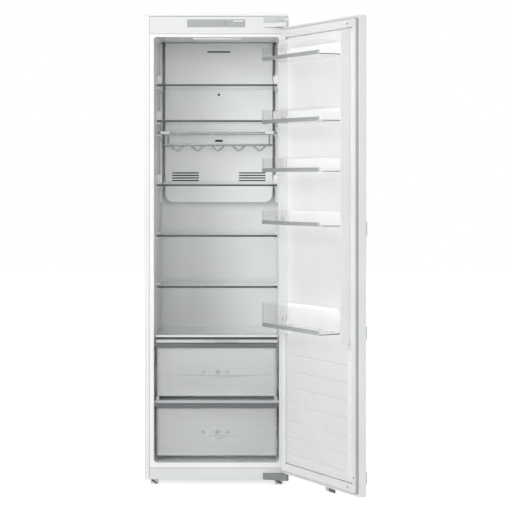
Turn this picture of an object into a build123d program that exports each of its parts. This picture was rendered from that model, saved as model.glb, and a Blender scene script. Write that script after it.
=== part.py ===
from build123d import *
import math
import os

# A built-in larder refrigerator, stored with its door standing open. Lengths are millimetres.
# The origin lies on the floor, on the centre line, below the cabinet's front edge.
# +X is to the right as seen from the front, +Y goes into the cabinet and +Z is up.

# Cabinet
width = 540
height = 1770
depth = 500
foot_height = 22
case_sheet = 0.8
rear_sheet = 0.8
base_sheet = 2
flange_width = 19
lip_height = 11.5
lip_reach = 4
overrun = 5
seat_gap = 0.3
wire_sides = 6
small_sides = 8
middle_sides = 12
round_sides = 24

# Food space
liner_flange = 16
liner_wall = 2
mouth_rise = 63
mouth_drop = 90
liner_sill = 20
liner_head = 11
back_wall = 45
ceiling_rise = 14
cavity_corner = 14
cavity_ease = 8
liner_chamfer = 10
hump_depth = 165
hump_drop = 15
hump_slope = 16
niche_foam = 24

# Glass shelves, placed as shares of the mouth's height
shelf_place_shares = (0.8924, 0.8062, 0.6525, 0.5312, 0.4088)
duct_shelf_count = 3
shelf_front = 120
shelf_side_gap = 6
glass = 4
shelf_trim_height = 7
shelf_trim_depth = 9
shelf_trim_wall = 1.5
shelf_lip = 14
back_trim = 4
rest_reach = 15
rest_height = 9
rest_inset = 45
stop_length = 26
stop_gap = 1.5

# Door, drawn shut and swung open when it is written
door_open = 118.5
door_side_gap = 2
door_rise = 26
door_drop = 56
door_front = -43
rim_y = -14.3
panel_wall = 1.5
panel_round = 4
pivot_inset = 11
pivot_y = -20
pin_radius = 3
pin_play = 0.05
pin_length = 15
bush_wall = 1.5
bush_flange = 1.2
bush_flange_height = 1
bush_sides = 8
gasket_inset = 6
gasket_width = 24
gasket_foot = 17
gasket_foot_height = 7
gasket_round = 3
gasket_rise = 14
gasket_drop = 12
plateau_gap = 5
plateau_y = -5
plateau_round = 4
ridge_crest = 11
ridge_inset = 9
ridge_y = 32
ridge_low_share = 0.3072
ridge_drop = 16
ridge_round = 22
rib_count = 7
rib_rise = 42.6
rib_pitch = 61.65
rib_inset = 33
rib_short = 15
rib_shift = 12
rib_height = 1.6
rib_width = 5

# Door balconies, placed as shares of the mouth's height
balcony_place_shares = (0.9367, 0.7925, 0.6821, 0.5630, 0.3279)
spare_peg_shares = (0.8840, 0.4733)
balcony_side_gap = 5
balcony_shelf_gap = 7.5
balcony_gap = 1.5
balcony_wall = 2.4
balcony_corner = 16
balcony_height = 50
bottle_balcony_height = 85
band_height = 14
band_sheet = 1.5
band_run = 52
peg_radius = 4
peg_sides = 6
peg_length = 4
peg_y = 14
peg_rise = 28
lug_width = 22
lug_height = 14
lug_thick = 3

# Drawers and the covers above them
drawer_side_gap = 8
drawer_front = 26
drawer_wall = 2.4
drawer_corner = 12
drawer_floor_gap = 21
lower_drawer_height = 199
upper_drawer_height = 201
divider_height = 11
divider_gap = 14
divider_sheet = 4
back_gap = 14
grip_height = 18.5
grip_cap = 4
grip_reach = 6
grip_depth = 18
ledge_reach = 7
rail_height = 5
runner = 5
runner_height = 3
trim_gap = 1
crisper_trim_height = 28
crisper_trim_front = 22
crisper_trim_depth = 26
crisper_groove = 10
crisper_band = 11
crisper_step = 2
slider_width = 84
slider_height = 7.4
slider_depth = 8
slider_travel = 40
slider_right = 81.5
grip_line_count = 7

# Fascias, control panel and hinges
fascia_recess = 0.4
fascia_wall = 2.5
fascia_depth = 20
panel_left = -110
panel_right = 108
panel_drop = 24.5
panel_height = 29.5
panel_sheet = 1.5
panel_proud = 0.3
button_radius = 3.6
button_x = 32
button_travel = 0.8
button_collar = 2
button_flange = 1.2
top_hinge_length = 93
top_hinge_height = 16
bottom_hinge_length = 96
bottom_hinge_height = 24
hinge_wall = 3
hinge_running_gap = 2
arm_root = 5
tab_inset = 6
screw_radius = 2.25

# Air duct at the back of the food space
duct_side_gap = 21
duct_depth = 55
duct_low_share = 0.6088
duct_rise = 10
duct_wall = 2.5
duct_corner = 34
louvre_count = 4
louvre_width = 106
louvre_height = 5
louvre_pitch = 10
louvre_rise = 86
louvre_x = 133
vent_width = 92
vent_height = 6
vent_drop = 25
sensor_radius = 5
sensor_drop = 196
mouth_slot_width = 30
mouth_slot_height = 9
mouth_slot_rise = 244
evaporator_side_gap = 49
coil_turn_share = 0.7483
evaporator_rise = 154
evaporator_gap = 67.964
evaporator_depth = 38
fin_count = 11
fin_sheet = 1.5
coil_radius = 4
coil_rows = 3
fan_drop = 120
fan_half = 62
fan_hole = 53
fan_ring_depth = 20
fan_blade = 50
blade_count = 7
blade_sheet = 1.6
blade_pitch = 38
hub_radius = 17
hub_depth = 14
shaft_radius = 2
motor_radius = 19
motor_depth = 12
arm_sheet = 2
blade_chord = 16

# Bottle rack
rack_place_share = 0.7774
rack_height = 45
rack_dip = 24
rack_side_gap = 9
rack_taper = 16
rack_inset = 14
rack_back_gap = 28
rack_wire = 2.6
wave_wire = 2.2
trough_count = 5
trough_pitch = 81
trough_half = 27
rung_inset = 9
clip_length = 34
clip_height = 11
clip_depth = 18

# Lamp, compressor and its niche
lamp_half = 92
lamp_front = 66
lamp_width = 44
lamp_sheet = 5
compressor_radius = 72
compressor_height = 150
compressor_x = 70
compressor_inset = 92
can_dome = 18
weld_flange = 3
terminal_height = 40
strap_y = 50
grommet_x = 78
pipe_radius = 4
pipe_share = 0.75
pipe_reach = 24
foot_plate = 3
foot_plate_half = 88
foot_plate_width = 28
grommet_radius = 9
grommet_height = 12
grommet_bore = 3.5
tray_wall = 2
tray_height = 24
tray_half = 66
box_inset = 64
box_width = 74
box_depth = 52
box_height = 62
box_wall = 2.5
gland_radius = 4.5
gland_length = 7
condenser_radius = 2.4
condenser_side = 55
condenser_rise = 66
condenser_drop = 120
condenser_runs = 9
condenser_inset = 8

# Feet and furniture brackets
foot_inset = 36.5
foot_y = 34
foot_radius = 15
foot_stem = 5
foot_thread = 24
foot_chamfer = 1.5
rear_foot_inset = 34
rear_foot_length = 40
rear_foot_width = 26
bracket_x = -27
bracket_width = 68
bracket_drop = 23
bracket_sheet = 2
guide_place_shares = (0.5560, 0.3400, 0.0390)
guide_width = 30
guide_height = 46
guide_thick = 5

# Places worked out from the sizes above
half = width / 2
inner_half = half - case_sheet
roof = height - case_sheet
flange_inner = half - flange_width
mouth_half = flange_inner - liner_flange
lip_bottom = height - lip_height
mouth_bottom = foot_height + mouth_rise
mouth_top = height - mouth_drop
mouth_height = mouth_top - mouth_bottom
cavity_depth = depth - back_wall
hump_front = cavity_depth - hump_depth
base_top = foot_height + base_sheet
sill_z = mouth_bottom - liner_sill
head_z = mouth_top + liner_head
niche_front = hump_front + liner_wall + niche_foam
rear_inner = depth - rear_sheet
plinth_y = fascia_recess + fascia_wall
shelf_half = mouth_half - shelf_side_gap
shelf_tops = [mouth_bottom + share * mouth_height for share in shelf_place_shares]
lower_drawer_low = mouth_bottom + drawer_floor_gap
lower_drawer_high = lower_drawer_low + lower_drawer_height
hump_top = lower_drawer_high - hump_drop
niche_top = hump_top - liner_wall - niche_foam
divider_top = lower_drawer_high + divider_height
upper_drawer_low = divider_top + divider_gap
upper_drawer_high = upper_drawer_low + upper_drawer_height
crisper_low = upper_drawer_high + trim_gap
crisper_top = crisper_low + crisper_trim_height
band_middle = crisper_low + crisper_band / 2
crisper_glass_low = crisper_top - shelf_trim_wall - glass
drawer_half = mouth_half - drawer_side_gap
panel_high = height - panel_drop
panel_low = panel_high - panel_height
panel_middle = (panel_low + panel_high) / 2
duct_half = mouth_half - duct_side_gap
duct_front = cavity_depth - duct_depth
evaporator_half = duct_half - evaporator_side_gap
duct_low = mouth_bottom + duct_low_share * mouth_height
duct_high = mouth_top + duct_rise
vent_z = mouth_top - vent_drop
sensor_z = mouth_top - sensor_drop
louvre_low = duct_low + louvre_rise
mouth_slot_z = duct_low + mouth_slot_rise
evaporator_low = duct_low + evaporator_rise
fan_z = mouth_top - fan_drop
evaporator_high = fan_z - fan_half - evaporator_gap
rack_half = mouth_half - rack_side_gap
rack_top = mouth_bottom + rack_place_share * mouth_height
rack_low = rack_top - rack_height
rack_front = shelf_front + rack_inset
rack_back = duct_front - rack_back_gap
compressor_y = depth - compressor_inset
box_left = box_inset - inner_half
condenser_half = inner_half - condenser_side
condenser_low = niche_top + condenser_rise
condenser_high = height - condenser_drop
foot_x = half - foot_inset
rear_foot_y = depth - rear_foot_inset
top_hinge_left = half - top_hinge_length
bottom_hinge_left = half - bottom_hinge_length
tab_left = top_hinge_left + tab_inset
pivot_x = half - pivot_inset
door_half = half - door_side_gap
door_bottom = foot_height + door_rise
door_top = height - door_drop
gasket_half = door_half - gasket_inset
gasket_low = door_bottom + gasket_rise
gasket_high = door_top - gasket_drop
ridge_half = mouth_half - ridge_inset
ridge_low = mouth_bottom + ridge_low_share * mouth_height
ridge_high = mouth_top - ridge_drop
balcony_half = ridge_half - ridge_crest - balcony_side_gap
balcony_front = shelf_front - balcony_shelf_gap
bush_radius = pin_radius + pin_play + bush_wall
balcony_lows = [mouth_bottom + share * mouth_height for share in balcony_place_shares]
hinge_axis = Axis((pivot_x, pivot_y, 0), (0, 0, 1))


def front(y):
    """The upright plane at depth y, seen from the front."""
    return Plane.XZ.offset(-y)


def side(x):
    """The upright plane at x, seen from the right: its first axis goes into the cabinet."""
    return Plane.YZ.offset(x)


def level(z):
    """The flat plane at height z."""
    return Plane.XY.offset(z)


def pane(first, second, mode=Mode.ADD):
    """A rectangle between two places on each axis of the sketch."""
    with Locations(((first[0] + first[1]) / 2, (second[0] + second[1]) / 2)):
        Rectangle(first[1] - first[0], second[1] - second[0], mode=mode)


def cavity(grow):
    """The food space with its hump over the niche: rounded inside, or moved outward by grow and chamfered."""
    floor_z = mouth_bottom - grow
    step_z = hump_top - grow
    back_y = cavity_depth + grow
    with BuildPart() as space:
        with BuildSketch(side(0)):
            with BuildLine():
                Polyline(
                    (0, floor_z),
                    (hump_front + grow, floor_z),
                    (hump_front + grow, step_z),
                    (back_y, step_z + hump_slope),
                    (back_y, mouth_top + ceiling_rise + grow),
                    (0, mouth_top + grow),
                    close=True,
                )
            make_face()
        extrude(amount=mouth_half + grow, both=True)
        mouth_edges = space.faces().sort_by(Axis.Y)[0].edges()
        if grow:
            chamfer(space.edges() - mouth_edges, liner_chamfer)
        else:
            fillet(space.edges().filter_by(Axis.Z).group_by(Axis.Y)[-1], cavity_corner)
            chamfer(space.edges() - space.faces().sort_by(Axis.Y)[0].edges(), cavity_ease)
    return space.part


def wire(points, radius, close=False):
    """A six-sided wire or tube along straight runs, with mitred corners."""
    with BuildPart() as rod:
        with BuildLine() as path:
            Polyline(*points, close=close)
        with BuildSketch(path.line ^ 0):
            RegularPolygon(radius, wire_sides)
        sweep(transition=Transition.RIGHT)
    return rod.part


# Steel case: two sides and the top in one bend, with a flange turned in round the front
with BuildPart() as outer_case:
    with BuildSketch(front(0)):
        pane((-half, half), (foot_height, height))
        pane((-inner_half, inner_half), (foot_height - overrun, roof), mode=Mode.SUBTRACT)
    extrude(amount=-depth)
    with BuildSketch(front(0)):
        pane((-half, half), (foot_height, height))
        pane((-flange_inner, flange_inner), (foot_height - overrun, lip_bottom), mode=Mode.SUBTRACT)
    extrude(amount=-case_sheet)
    with BuildSketch(side(0)):
        pane((-lip_reach, 0), (lip_bottom, height))
        pane((case_sheet - lip_reach, 0), (lip_bottom + case_sheet, roof), mode=Mode.SUBTRACT)
    extrude(amount=half, both=True)

# Folded sheet that closes the back and lines the compressor niche
with BuildPart() as rear_panel:
    with BuildSketch(side(0)):
        pane((rear_inner, depth), (niche_top - rear_sheet, roof))
        pane((niche_front, depth), (niche_top - rear_sheet, niche_top))
        pane((niche_front, niche_front + rear_sheet), (base_top, niche_top))
    extrude(amount=inner_half, both=True)

# Base sheet under the whole cabinet, with an upstand behind the plinth
with BuildPart() as base_plate:
    with BuildSketch(side(0)):
        pane((plinth_y, depth), (foot_height, base_top))
    extrude(amount=inner_half, both=True)
    with BuildSketch(side(0)):
        pane((plinth_y, plinth_y + base_sheet), (foot_height, foot_height + bottom_hinge_height))
    extrude(amount=flange_inner, both=True)
    with BuildSketch(level(foot_height)):
        with Locations((foot_x, foot_y), (-foot_x, foot_y)):
            RegularPolygon(foot_stem + seat_gap, middle_sides)
    extrude(amount=base_sheet, mode=Mode.SUBTRACT)

# Moulded liner: the walls of the food space, the flange round its mouth and the rests along its sides
food_space = cavity(0)
liner_shape = cavity(liner_wall)


def rest(y, top, length, tall):
    """One rest on a side wall: its middle along Y and Z, its length and its height."""
    return (y, top - tall / 2, length, tall)


shelf_backs = [duct_front if k < duct_shelf_count else cavity_depth for k in range(len(shelf_tops))]
pads = []
for top, back in zip(shelf_tops, shelf_backs):
    middle = (shelf_front + back) / 2
    pads.append(rest(middle, top - glass - seat_gap, back - shelf_front - rest_inset, rest_height))
    pads.append(rest(shelf_front + rest_inset, top + stop_gap + rest_height, stop_length, rest_height))
rack_rest = rack_back - rack_front - rest_inset
pads.append(rest((rack_front + rack_back) / 2, rack_top - rack_wire - seat_gap, rack_rest, rest_height))
ledges = []
covers = [
    (crisper_glass_low, crisper_trim_front + crisper_trim_depth, cavity_depth - rest_inset),
    (divider_top - divider_sheet, crisper_trim_front + divider_height, hump_front - rest_inset / 2),
]
for top, start, end in covers:
    ledges.append(rest((start + end) / 2, top, end - start, rail_height))
for top, back in ((upper_drawer_high, cavity_depth), (lower_drawer_high, hump_front)):
    start, end = drawer_front + grip_depth, back - back_gap - overrun
    under = top - grip_cap - runner_height - seat_gap
    ledges.append(rest((start + end) / 2, under, end - start, rail_height))

with BuildPart() as inner_liner:
    add(liner_shape)
    with BuildSketch(front(0)):
        pane((-flange_inner, flange_inner), (sill_z, head_z))
    extrude(amount=-liner_wall)
    add(food_space, mode=Mode.SUBTRACT)
    for wall in (-1, 1):
        for reach, group in ((rest_reach, pads), (ledge_reach, ledges)):
            with BuildSketch(side(wall * mouth_half)):
                for y, z, length, tall in group:
                    with Locations((y, z)):
                        Rectangle(length, tall)
                if group is pads:
                    chamfer(vertices(), rest_height / 3)
            extrude(amount=-wall * reach)

# Condenser tube: a serpentine bedded in the foam just inside the rear sheet
run_pitch = (condenser_high - condenser_low) / (condenser_runs - 1)
condenser_y = rear_inner - condenser_inset
condenser_points = []
for k in range(condenser_runs):
    ends = (-condenser_half, condenser_half) if k % 2 == 0 else (condenser_half, -condenser_half)
    condenser_points += [(x, condenser_y, condenser_low + k * run_pitch) for x in ends]
condenser_line = wire(condenser_points, condenser_radius)
with BuildPart() as condenser_tube:
    add(condenser_line)

# Foam that fills the cabinet's walls, with the niche and the fascia pockets left open
with BuildPart() as insulation_foam:
    with BuildSketch(side(0)):
        pane((case_sheet, rear_inner), (base_top, roof))
        pane((niche_front, depth), (foot_height, niche_top), mode=Mode.SUBTRACT)
    extrude(amount=inner_half, both=True)
    with BuildSketch(front(0)):
        pane((-flange_inner, flange_inner), (head_z, lip_bottom))
        pane((-flange_inner, flange_inner), (foot_height, sill_z))
    extrude(amount=-fascia_depth, mode=Mode.SUBTRACT)
    with BuildSketch(front(0)):
        pane((-flange_inner, flange_inner), (sill_z, head_z))
    extrude(amount=-liner_wall, mode=Mode.SUBTRACT)
    with BuildSketch(front(case_sheet)):
        pane((tab_left, inner_half), (door_top + hinge_running_gap, lip_bottom))
    extrude(amount=-hinge_wall, mode=Mode.SUBTRACT)
    with BuildSketch(level(base_top)):
        with Locations((foot_x, foot_y), (-foot_x, foot_y)):
            RegularPolygon(foot_stem + seat_gap, middle_sides)
    extrude(amount=foot_thread, mode=Mode.SUBTRACT)
    add(liner_shape, mode=Mode.SUBTRACT)
    add(condenser_line, mode=Mode.SUBTRACT)

# Top fascia: a hollow moulding over the controls, notched at the right for the hinge
with BuildPart() as control_fascia:
    with BuildSketch(front(fascia_recess)):
        pane((-flange_inner, flange_inner), (head_z, lip_bottom))
    extrude(amount=fascia_recess - fascia_depth)
    back_face = control_fascia.faces().sort_by(Axis.Y)[-1]
    offset(amount=-fascia_wall, openings=back_face)
    with BuildSketch(front(fascia_recess)):
        pane((top_hinge_left - seat_gap, half), (door_top + hinge_running_gap - seat_gap, height))
    extrude(amount=-fascia_depth, mode=Mode.SUBTRACT)
    with BuildSketch(front(fascia_recess)):
        pane((panel_left, panel_right), (panel_low, panel_high))
        chamfer(vertices(), panel_sheet)
    extrude(amount=-panel_sheet, mode=Mode.SUBTRACT)
    with BuildSketch(front(fascia_recess)):
        with Locations((button_x, panel_middle)):
            Circle(button_radius + seat_gap)
    extrude(amount=-fascia_wall, mode=Mode.SUBTRACT)

# Printed panel that lies in the fascia's recess, with a hole for the button
with BuildPart() as control_panel:
    with BuildSketch(front(fascia_recess - panel_proud)):
        pane((panel_left, panel_right), (panel_low, panel_high))
        chamfer(vertices(), panel_sheet)
        with Locations((button_x, panel_middle)):
            Circle(button_radius + seat_gap, mode=Mode.SUBTRACT)
    extrude(amount=-(panel_proud + panel_sheet))

# Round button with a collar behind the fascia that keeps it in
with BuildPart() as set_button:
    button_face = fascia_recess - 2 * panel_proud - button_travel
    collar_y = plinth_y + seat_gap
    with BuildSketch(front(button_face)):
        with Locations((button_x, panel_middle)):
            Circle(button_radius)
    extrude(amount=button_face - collar_y)
    with BuildSketch(front(collar_y)):
        with Locations((button_x, panel_middle)):
            RegularPolygon(button_radius + button_collar, small_sides)
    extrude(amount=-button_flange)

# Plinth strip below the food space, notched at the right for the bottom hinge
with BuildPart() as bottom_fascia:
    with BuildSketch(front(fascia_recess)):
        pane((-flange_inner, flange_inner), (base_top, sill_z))
    extrude(amount=-fascia_wall)
    with BuildSketch(front(fascia_recess)):
        notch_top = foot_height + bottom_hinge_height + seat_gap
        pane((bottom_hinge_left - seat_gap, half), (foot_height, notch_top))
    extrude(amount=-fascia_wall, mode=Mode.SUBTRACT)


def hinge_plan(left, root_y):
    """The plan of a hinge arm, from its root on the cabinet to a round nose about the pin."""
    with BuildSketch() as plan:
        with BuildLine():
            Polyline(
                (half, pivot_y),
                (half, -seat_gap),
                (flange_inner - seat_gap, -seat_gap),
                (flange_inner - seat_gap, root_y),
                (left, root_y),
                (left, -arm_root),
                (pivot_x, pivot_y - pivot_inset),
            )
            CenterArc((pivot_x, pivot_y), pivot_inset, -90, 90)
        make_face()
    return plan.sketch


def hinge(left, root_y, plate_z, skirt):
    """A hinge arm: a plate beside the door's end, a skirt folded away from the door, and the pin."""
    away = math.copysign(1, skirt)
    plan = hinge_plan(left, root_y)
    with BuildPart() as arm:
        with BuildSketch(level(plate_z)):
            add(plan)
        extrude(amount=skirt)
        with BuildSketch(level(plate_z + away * hinge_wall)):
            add(plan)
            offset(amount=-hinge_wall, mode=Mode.REPLACE)
        extrude(amount=skirt, mode=Mode.SUBTRACT)
        with BuildSketch(level(plate_z + away * hinge_wall)):
            with Locations((pivot_x, pivot_y)):
                Circle(pin_radius)
        extrude(amount=-away * (hinge_wall + pin_length))
    return arm.part


top_arm = hinge(top_hinge_left, case_sheet + hinge_wall, door_top + hinge_running_gap, top_hinge_height)
with BuildPart() as top_hinge:
    add(top_arm)
    with BuildSketch(front(case_sheet)):
        pane((tab_left, inner_half), (door_top + hinge_running_gap, lip_bottom))
    extrude(amount=-hinge_wall)

bottom_arm = hinge(bottom_hinge_left, plinth_y, foot_height + bottom_hinge_height, -bottom_hinge_height)
with BuildPart() as bottom_hinge:
    add(bottom_arm)


def front_foot(x):
    """A levelling foot: a broad plastic foot on a threaded stem that goes up into the cabinet."""
    with BuildPart() as foot:
        with BuildSketch(level(0)):
            with Locations((x, foot_y)):
                RegularPolygon(foot_radius, middle_sides)
        extrude(amount=foot_height - seat_gap)
        chamfer(foot.edges(), foot_chamfer)
        with BuildSketch(level(foot_height - seat_gap)):
            with Locations((x, foot_y)):
                RegularPolygon(foot_stem, middle_sides)
        extrude(amount=foot_thread)
    return foot


left_foot = front_foot(-foot_x)
right_foot = front_foot(foot_x)

# Fixed skids under the back corners
with BuildPart() as rear_feet:
    with BuildSketch(level(0)):
        with GridLocations(2 * foot_x, 0, 2, 1):
            with Locations((0, rear_foot_y)):
                Rectangle(rear_foot_width, rear_foot_length)
        chamfer(vertices(), foot_stem)
    extrude(amount=foot_height)
    chamfer(rear_feet.faces().sort_by(Axis.Z)[:2].edges(), foot_chamfer)


def ceiling(y):
    """The height of the sloping ceiling at depth y."""
    return mouth_top + ceiling_rise * y / cavity_depth


# Lamp lens under the ceiling, behind the mouth
with BuildPart() as lamp_lens:
    with BuildSketch(level(ceiling(lamp_front))):
        with Locations((0, lamp_front + lamp_width / 2)):
            Rectangle(2 * lamp_half, lamp_width)
        chamfer(vertices(), lamp_sheet)
    extrude(amount=-lamp_sheet)
    chamfer(lamp_lens.faces().sort_by(Axis.Z)[0].edges(), lamp_sheet / 2)

# Moulded cover of the air duct, with its slots and two groups of louvres
with BuildPart() as duct_cover:
    with BuildSketch(front(duct_front)):
        pane((-duct_half, duct_half), (duct_low, duct_high))
        fillet(vertices().group_by(Axis.Y)[0], duct_corner)
    extrude(amount=duct_front - cavity_depth)
    duct_back = duct_cover.faces().sort_by(Axis.Y)[-1]
    offset(amount=-duct_wall, openings=duct_back)
    with BuildSketch(front(duct_front)):
        with Locations((0, vent_z)):
            Rectangle(vent_width, vent_height)
        with Locations((0, sensor_z)):
            RegularPolygon(sensor_radius, middle_sides)
        with Locations((0, mouth_slot_z)):
            Rectangle(mouth_slot_width, mouth_slot_height)
        with Locations((0, louvre_low + (louvre_count - 1) * louvre_pitch / 2)):
            with GridLocations(2 * louvre_x, louvre_pitch, 2, louvre_count):
                Rectangle(louvre_width, louvre_height)
    extrude(amount=-duct_wall, mode=Mode.SUBTRACT)
    add(food_space, mode=Mode.INTERSECT)

# Fin-and-tube evaporator behind the duct cover, against the back wall
evaporator_front = cavity_depth - evaporator_depth
fin_pitch = (2 * evaporator_half - fin_sheet) / (fin_count - 1)
row_pitch = (evaporator_high - evaporator_low) / coil_rows
turn = evaporator_half + coil_turn_share * evaporator_side_gap
coil_points = []
for k in range(coil_rows):
    z = evaporator_low + (k + 1 / 2) * row_pitch
    ends = (-turn, turn) if k % 2 == 0 else (turn, -turn)
    coil_points += [(x, evaporator_front + evaporator_depth / 2, z) for x in ends]
coil = wire(coil_points, coil_radius)
with BuildPart() as evaporator:
    with BuildSketch(front(evaporator_front)):
        with Locations((0, (evaporator_low + evaporator_high) / 2)):
            with GridLocations(fin_pitch, 0, fin_count, 1):
                Rectangle(fin_sheet, evaporator_high - evaporator_low)
    extrude(amount=-evaporator_depth)
    add(coil)

# Fan: a ring frame on the back wall with the motor on four arms, and a bladed rotor on its shaft
fan_front = cavity_depth - fan_ring_depth
with BuildPart() as fan_frame:
    with BuildSketch(front(fan_front)):
        with Locations((0, fan_z)):
            Rectangle(2 * fan_half, 2 * fan_half)
        chamfer(vertices(), fan_half - fan_hole)
        with Locations((0, fan_z)):
            RegularPolygon(fan_hole, round_sides, mode=Mode.SUBTRACT)
    extrude(amount=-fan_ring_depth)
    with BuildSketch(front(cavity_depth - arm_sheet)):
        with Locations((0, fan_z)):
            RegularPolygon(motor_radius, round_sides)
            Rectangle(2 * fan_hole + fan_half - fan_hole, motor_radius / 2)
            Rectangle(motor_radius / 2, 2 * fan_hole + fan_half - fan_hole)
    extrude(amount=-arm_sheet)
    with BuildSketch(front(cavity_depth)):
        with Locations((0, fan_z)):
            RegularPolygon(motor_radius, round_sides)
    extrude(amount=motor_depth)
    with BuildSketch(front(cavity_depth - motor_depth)):
        with Locations((0, fan_z)):
            Circle(shaft_radius)
    extrude(amount=seat_gap + hub_depth - blade_sheet)

rotor_back = cavity_depth - motor_depth - seat_gap
with BuildPart() as fan_rotor:
    with BuildSketch(front(rotor_back)):
        with Locations((0, fan_z)):
            RegularPolygon(hub_radius, 2 * blade_count)
    extrude(amount=hub_depth)
    chamfer(fan_rotor.faces().sort_by(Axis.Y)[0].edges(), blade_sheet)
    for k in range(blade_count):
        angle = 2 * math.pi * k / blade_count
        spoke = Plane(
            origin=(0, rotor_back - hub_depth / 2, fan_z),
            x_dir=(0, -1, 0),
            z_dir=(math.cos(angle), 0, math.sin(angle)),
        )
        with BuildSketch(spoke.offset(hub_radius / 2)):
            Rectangle(blade_sheet, blade_chord, rotation=blade_pitch)
        extrude(amount=fan_blade - hub_radius / 2)
    with BuildSketch(front(rotor_back)):
        with Locations((0, fan_z)):
            Circle(shaft_radius + pin_play)
    extrude(amount=hub_depth - blade_sheet, mode=Mode.SUBTRACT)


def shelf_glass(top, back):
    """A glass shelf plate with its corners cut."""
    start = shelf_front + shelf_trim_wall
    with BuildPart() as plate:
        with BuildSketch(level(top - glass)):
            with Locations((0, (start + back - back_trim) / 2)):
                Rectangle(2 * shelf_half, back - back_trim - start)
            chamfer(vertices(), glass)
        extrude(amount=glass)
    return plate


def shelf_trim(top, back):
    """The channel on a shelf's front edge and the raised lip bonded to its back edge."""
    middle = top - glass / 2
    with BuildPart() as trim:
        with BuildSketch(side(0)):
            pane(
                (shelf_front, shelf_front + shelf_trim_depth),
                (middle - shelf_trim_height / 2, middle + shelf_trim_height / 2),
            )
            pane((shelf_front + shelf_trim_wall, back), (top - glass, top), mode=Mode.SUBTRACT)
        extrude(amount=shelf_half, both=True)
        chamfer(trim.edges().filter_by(Axis.X).group_by(Axis.Y)[0], shelf_trim_wall / 2)
        with BuildSketch(side(0)):
            pane((back - back_trim, back - seat_gap), (top - glass, top + shelf_lip))
        extrude(amount=mouth_half - cavity_corner, both=True)
    return trim


shelves = {}
for k, (top, back) in enumerate(zip(shelf_tops, shelf_backs), start=1):
    shelves[f"shelf_{k}"] = shelf_glass(top, back)
    shelves[f"shelf_{k}_trim"] = shelf_trim(top, back)

# Bottle rack: two wire frames, the lower one smaller, with a waved wire at each end for five bottles
low_half = rack_half - rack_taper
low_front, low_back = rack_front + rack_taper, rack_back - rack_taper


def wire_frame(x, y_low, y_high, z):
    """A closed wire rectangle."""
    corners = [(x, y_low, z), (x, y_high, z), (-x, y_high, z), (-x, y_low, z)]
    return wire(corners, rack_wire, close=True)


def wave(y):
    """A wire across the rack that dips under each bottle."""
    points = [(-low_half, y, rack_low)]
    for k in range(trough_count):
        x = (k - (trough_count - 1) / 2) * trough_pitch
        points += [(x - trough_half, y, rack_low), (x, y, rack_low - rack_dip), (x + trough_half, y, rack_low)]
    points.append((low_half, y, rack_low))
    return wire(points, wave_wire)


rungs = []
for x in (rung_inset - low_half, low_half - rung_inset):
    for y_high, y_low in ((rack_front, low_front), (rack_back, low_back)):
        rungs.append(wire([(x, y_high, rack_top), (x, y_low, rack_low)], wave_wire))
top_frame = wire_frame(rack_half, rack_front, rack_back, rack_top)
with BuildPart() as bottle_rack:
    add(top_frame)
    add(wire_frame(low_half, low_front, low_back, rack_low))
    add(wave(low_front + rack_taper))
    add(wave(low_back - rack_taper))
    add(rungs)

# Plastic clips moulded round the rack's front bar, one at each side
with BuildPart() as rack_clips:
    with BuildSketch(side(0)):
        with Locations((rack_front, rack_top)):
            Rectangle(clip_depth, clip_height)
        chamfer(vertices(), rack_wire)
    extrude(amount=rack_half - rung_inset - seat_gap, both=True)
    with BuildSketch(side(0)):
        with Locations((rack_front, rack_top)):
            Rectangle(2 * clip_depth, 2 * clip_height)
    extrude(amount=rack_half - rung_inset - clip_length, both=True, mode=Mode.SUBTRACT)
    add(top_frame, mode=Mode.SUBTRACT)
    add(rungs, mode=Mode.SUBTRACT)


def tub_space(low, high, back, inset):
    """The drawer tub's outer form moved inward by inset, with rounded corners and an eased bottom."""
    with BuildPart() as form:
        with BuildSketch(level(high)):
            with Locations((0, (drawer_front + back) / 2)):
                RectangleRounded(
                    2 * (drawer_half - inset), back - drawer_front - 2 * inset, drawer_corner - inset
                )
        extrude(amount=low + inset - high)
        if not inset:
            chamfer(form.faces().sort_by(Axis.Z)[0].edges(), drawer_wall)
    return form.part


def drawer_tub(low, high, back):
    """An open drawer tub with a runner along each side and a ledge line across the front."""
    outer = tub_space(low, high, back, 0)
    inner = tub_space(low, high, back, drawer_wall)
    with BuildPart() as tub:
        add(outer)
        with BuildSketch(level(high)):
            reach = drawer_half + runner
            pane((-reach, reach), (drawer_front + grip_depth, back - drawer_corner))
        extrude(amount=-runner_height)
        add(inner, mode=Mode.SUBTRACT)
    return tub


def drawer_grip(high):
    """The dark handle strip that caps a drawer's front wall, hollow below for the fingers."""
    with BuildPart() as grip:
        with BuildSketch(side(0)):
            with BuildLine():
                Polyline(
                    (drawer_front - grip_reach, high - grip_height),
                    (drawer_front - grip_reach, high),
                    (drawer_front + grip_depth - grip_reach, high),
                    (drawer_front + grip_depth - grip_reach, high - grip_cap),
                    (drawer_front - seat_gap, high - grip_cap),
                    (drawer_front - seat_gap, high - grip_height),
                    close=True,
                )
            make_face()
        extrude(amount=drawer_half, both=True)
        chamfer(grip.edges().filter_by(Axis.X).group_by(Axis.Y)[0].sort_by(Axis.Z)[-1], grip_cap / 2)
    return grip


drawers = {}
for name, low, high, back in (
    ("upper_drawer", upper_drawer_low, upper_drawer_high, cavity_depth - back_gap),
    ("lower_drawer", lower_drawer_low, lower_drawer_high, hump_front - back_gap),
):
    drawers[name] = drawer_tub(low, high - grip_cap, back)
    drawers[f"{name}_grip"] = drawer_grip(high)

# Glass plate over the drawers, with a trim on its front edge and the vent slider in the trim
with BuildPart() as crisper_cover:
    glass_front = crisper_trim_front + crisper_trim_depth / 2
    with BuildSketch(level(crisper_glass_low)):
        pane((-shelf_half, shelf_half), (glass_front, cavity_depth - seat_gap))
        fillet(vertices().group_by(Axis.Y)[-1], cavity_corner)
    extrude(amount=glass)

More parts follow.
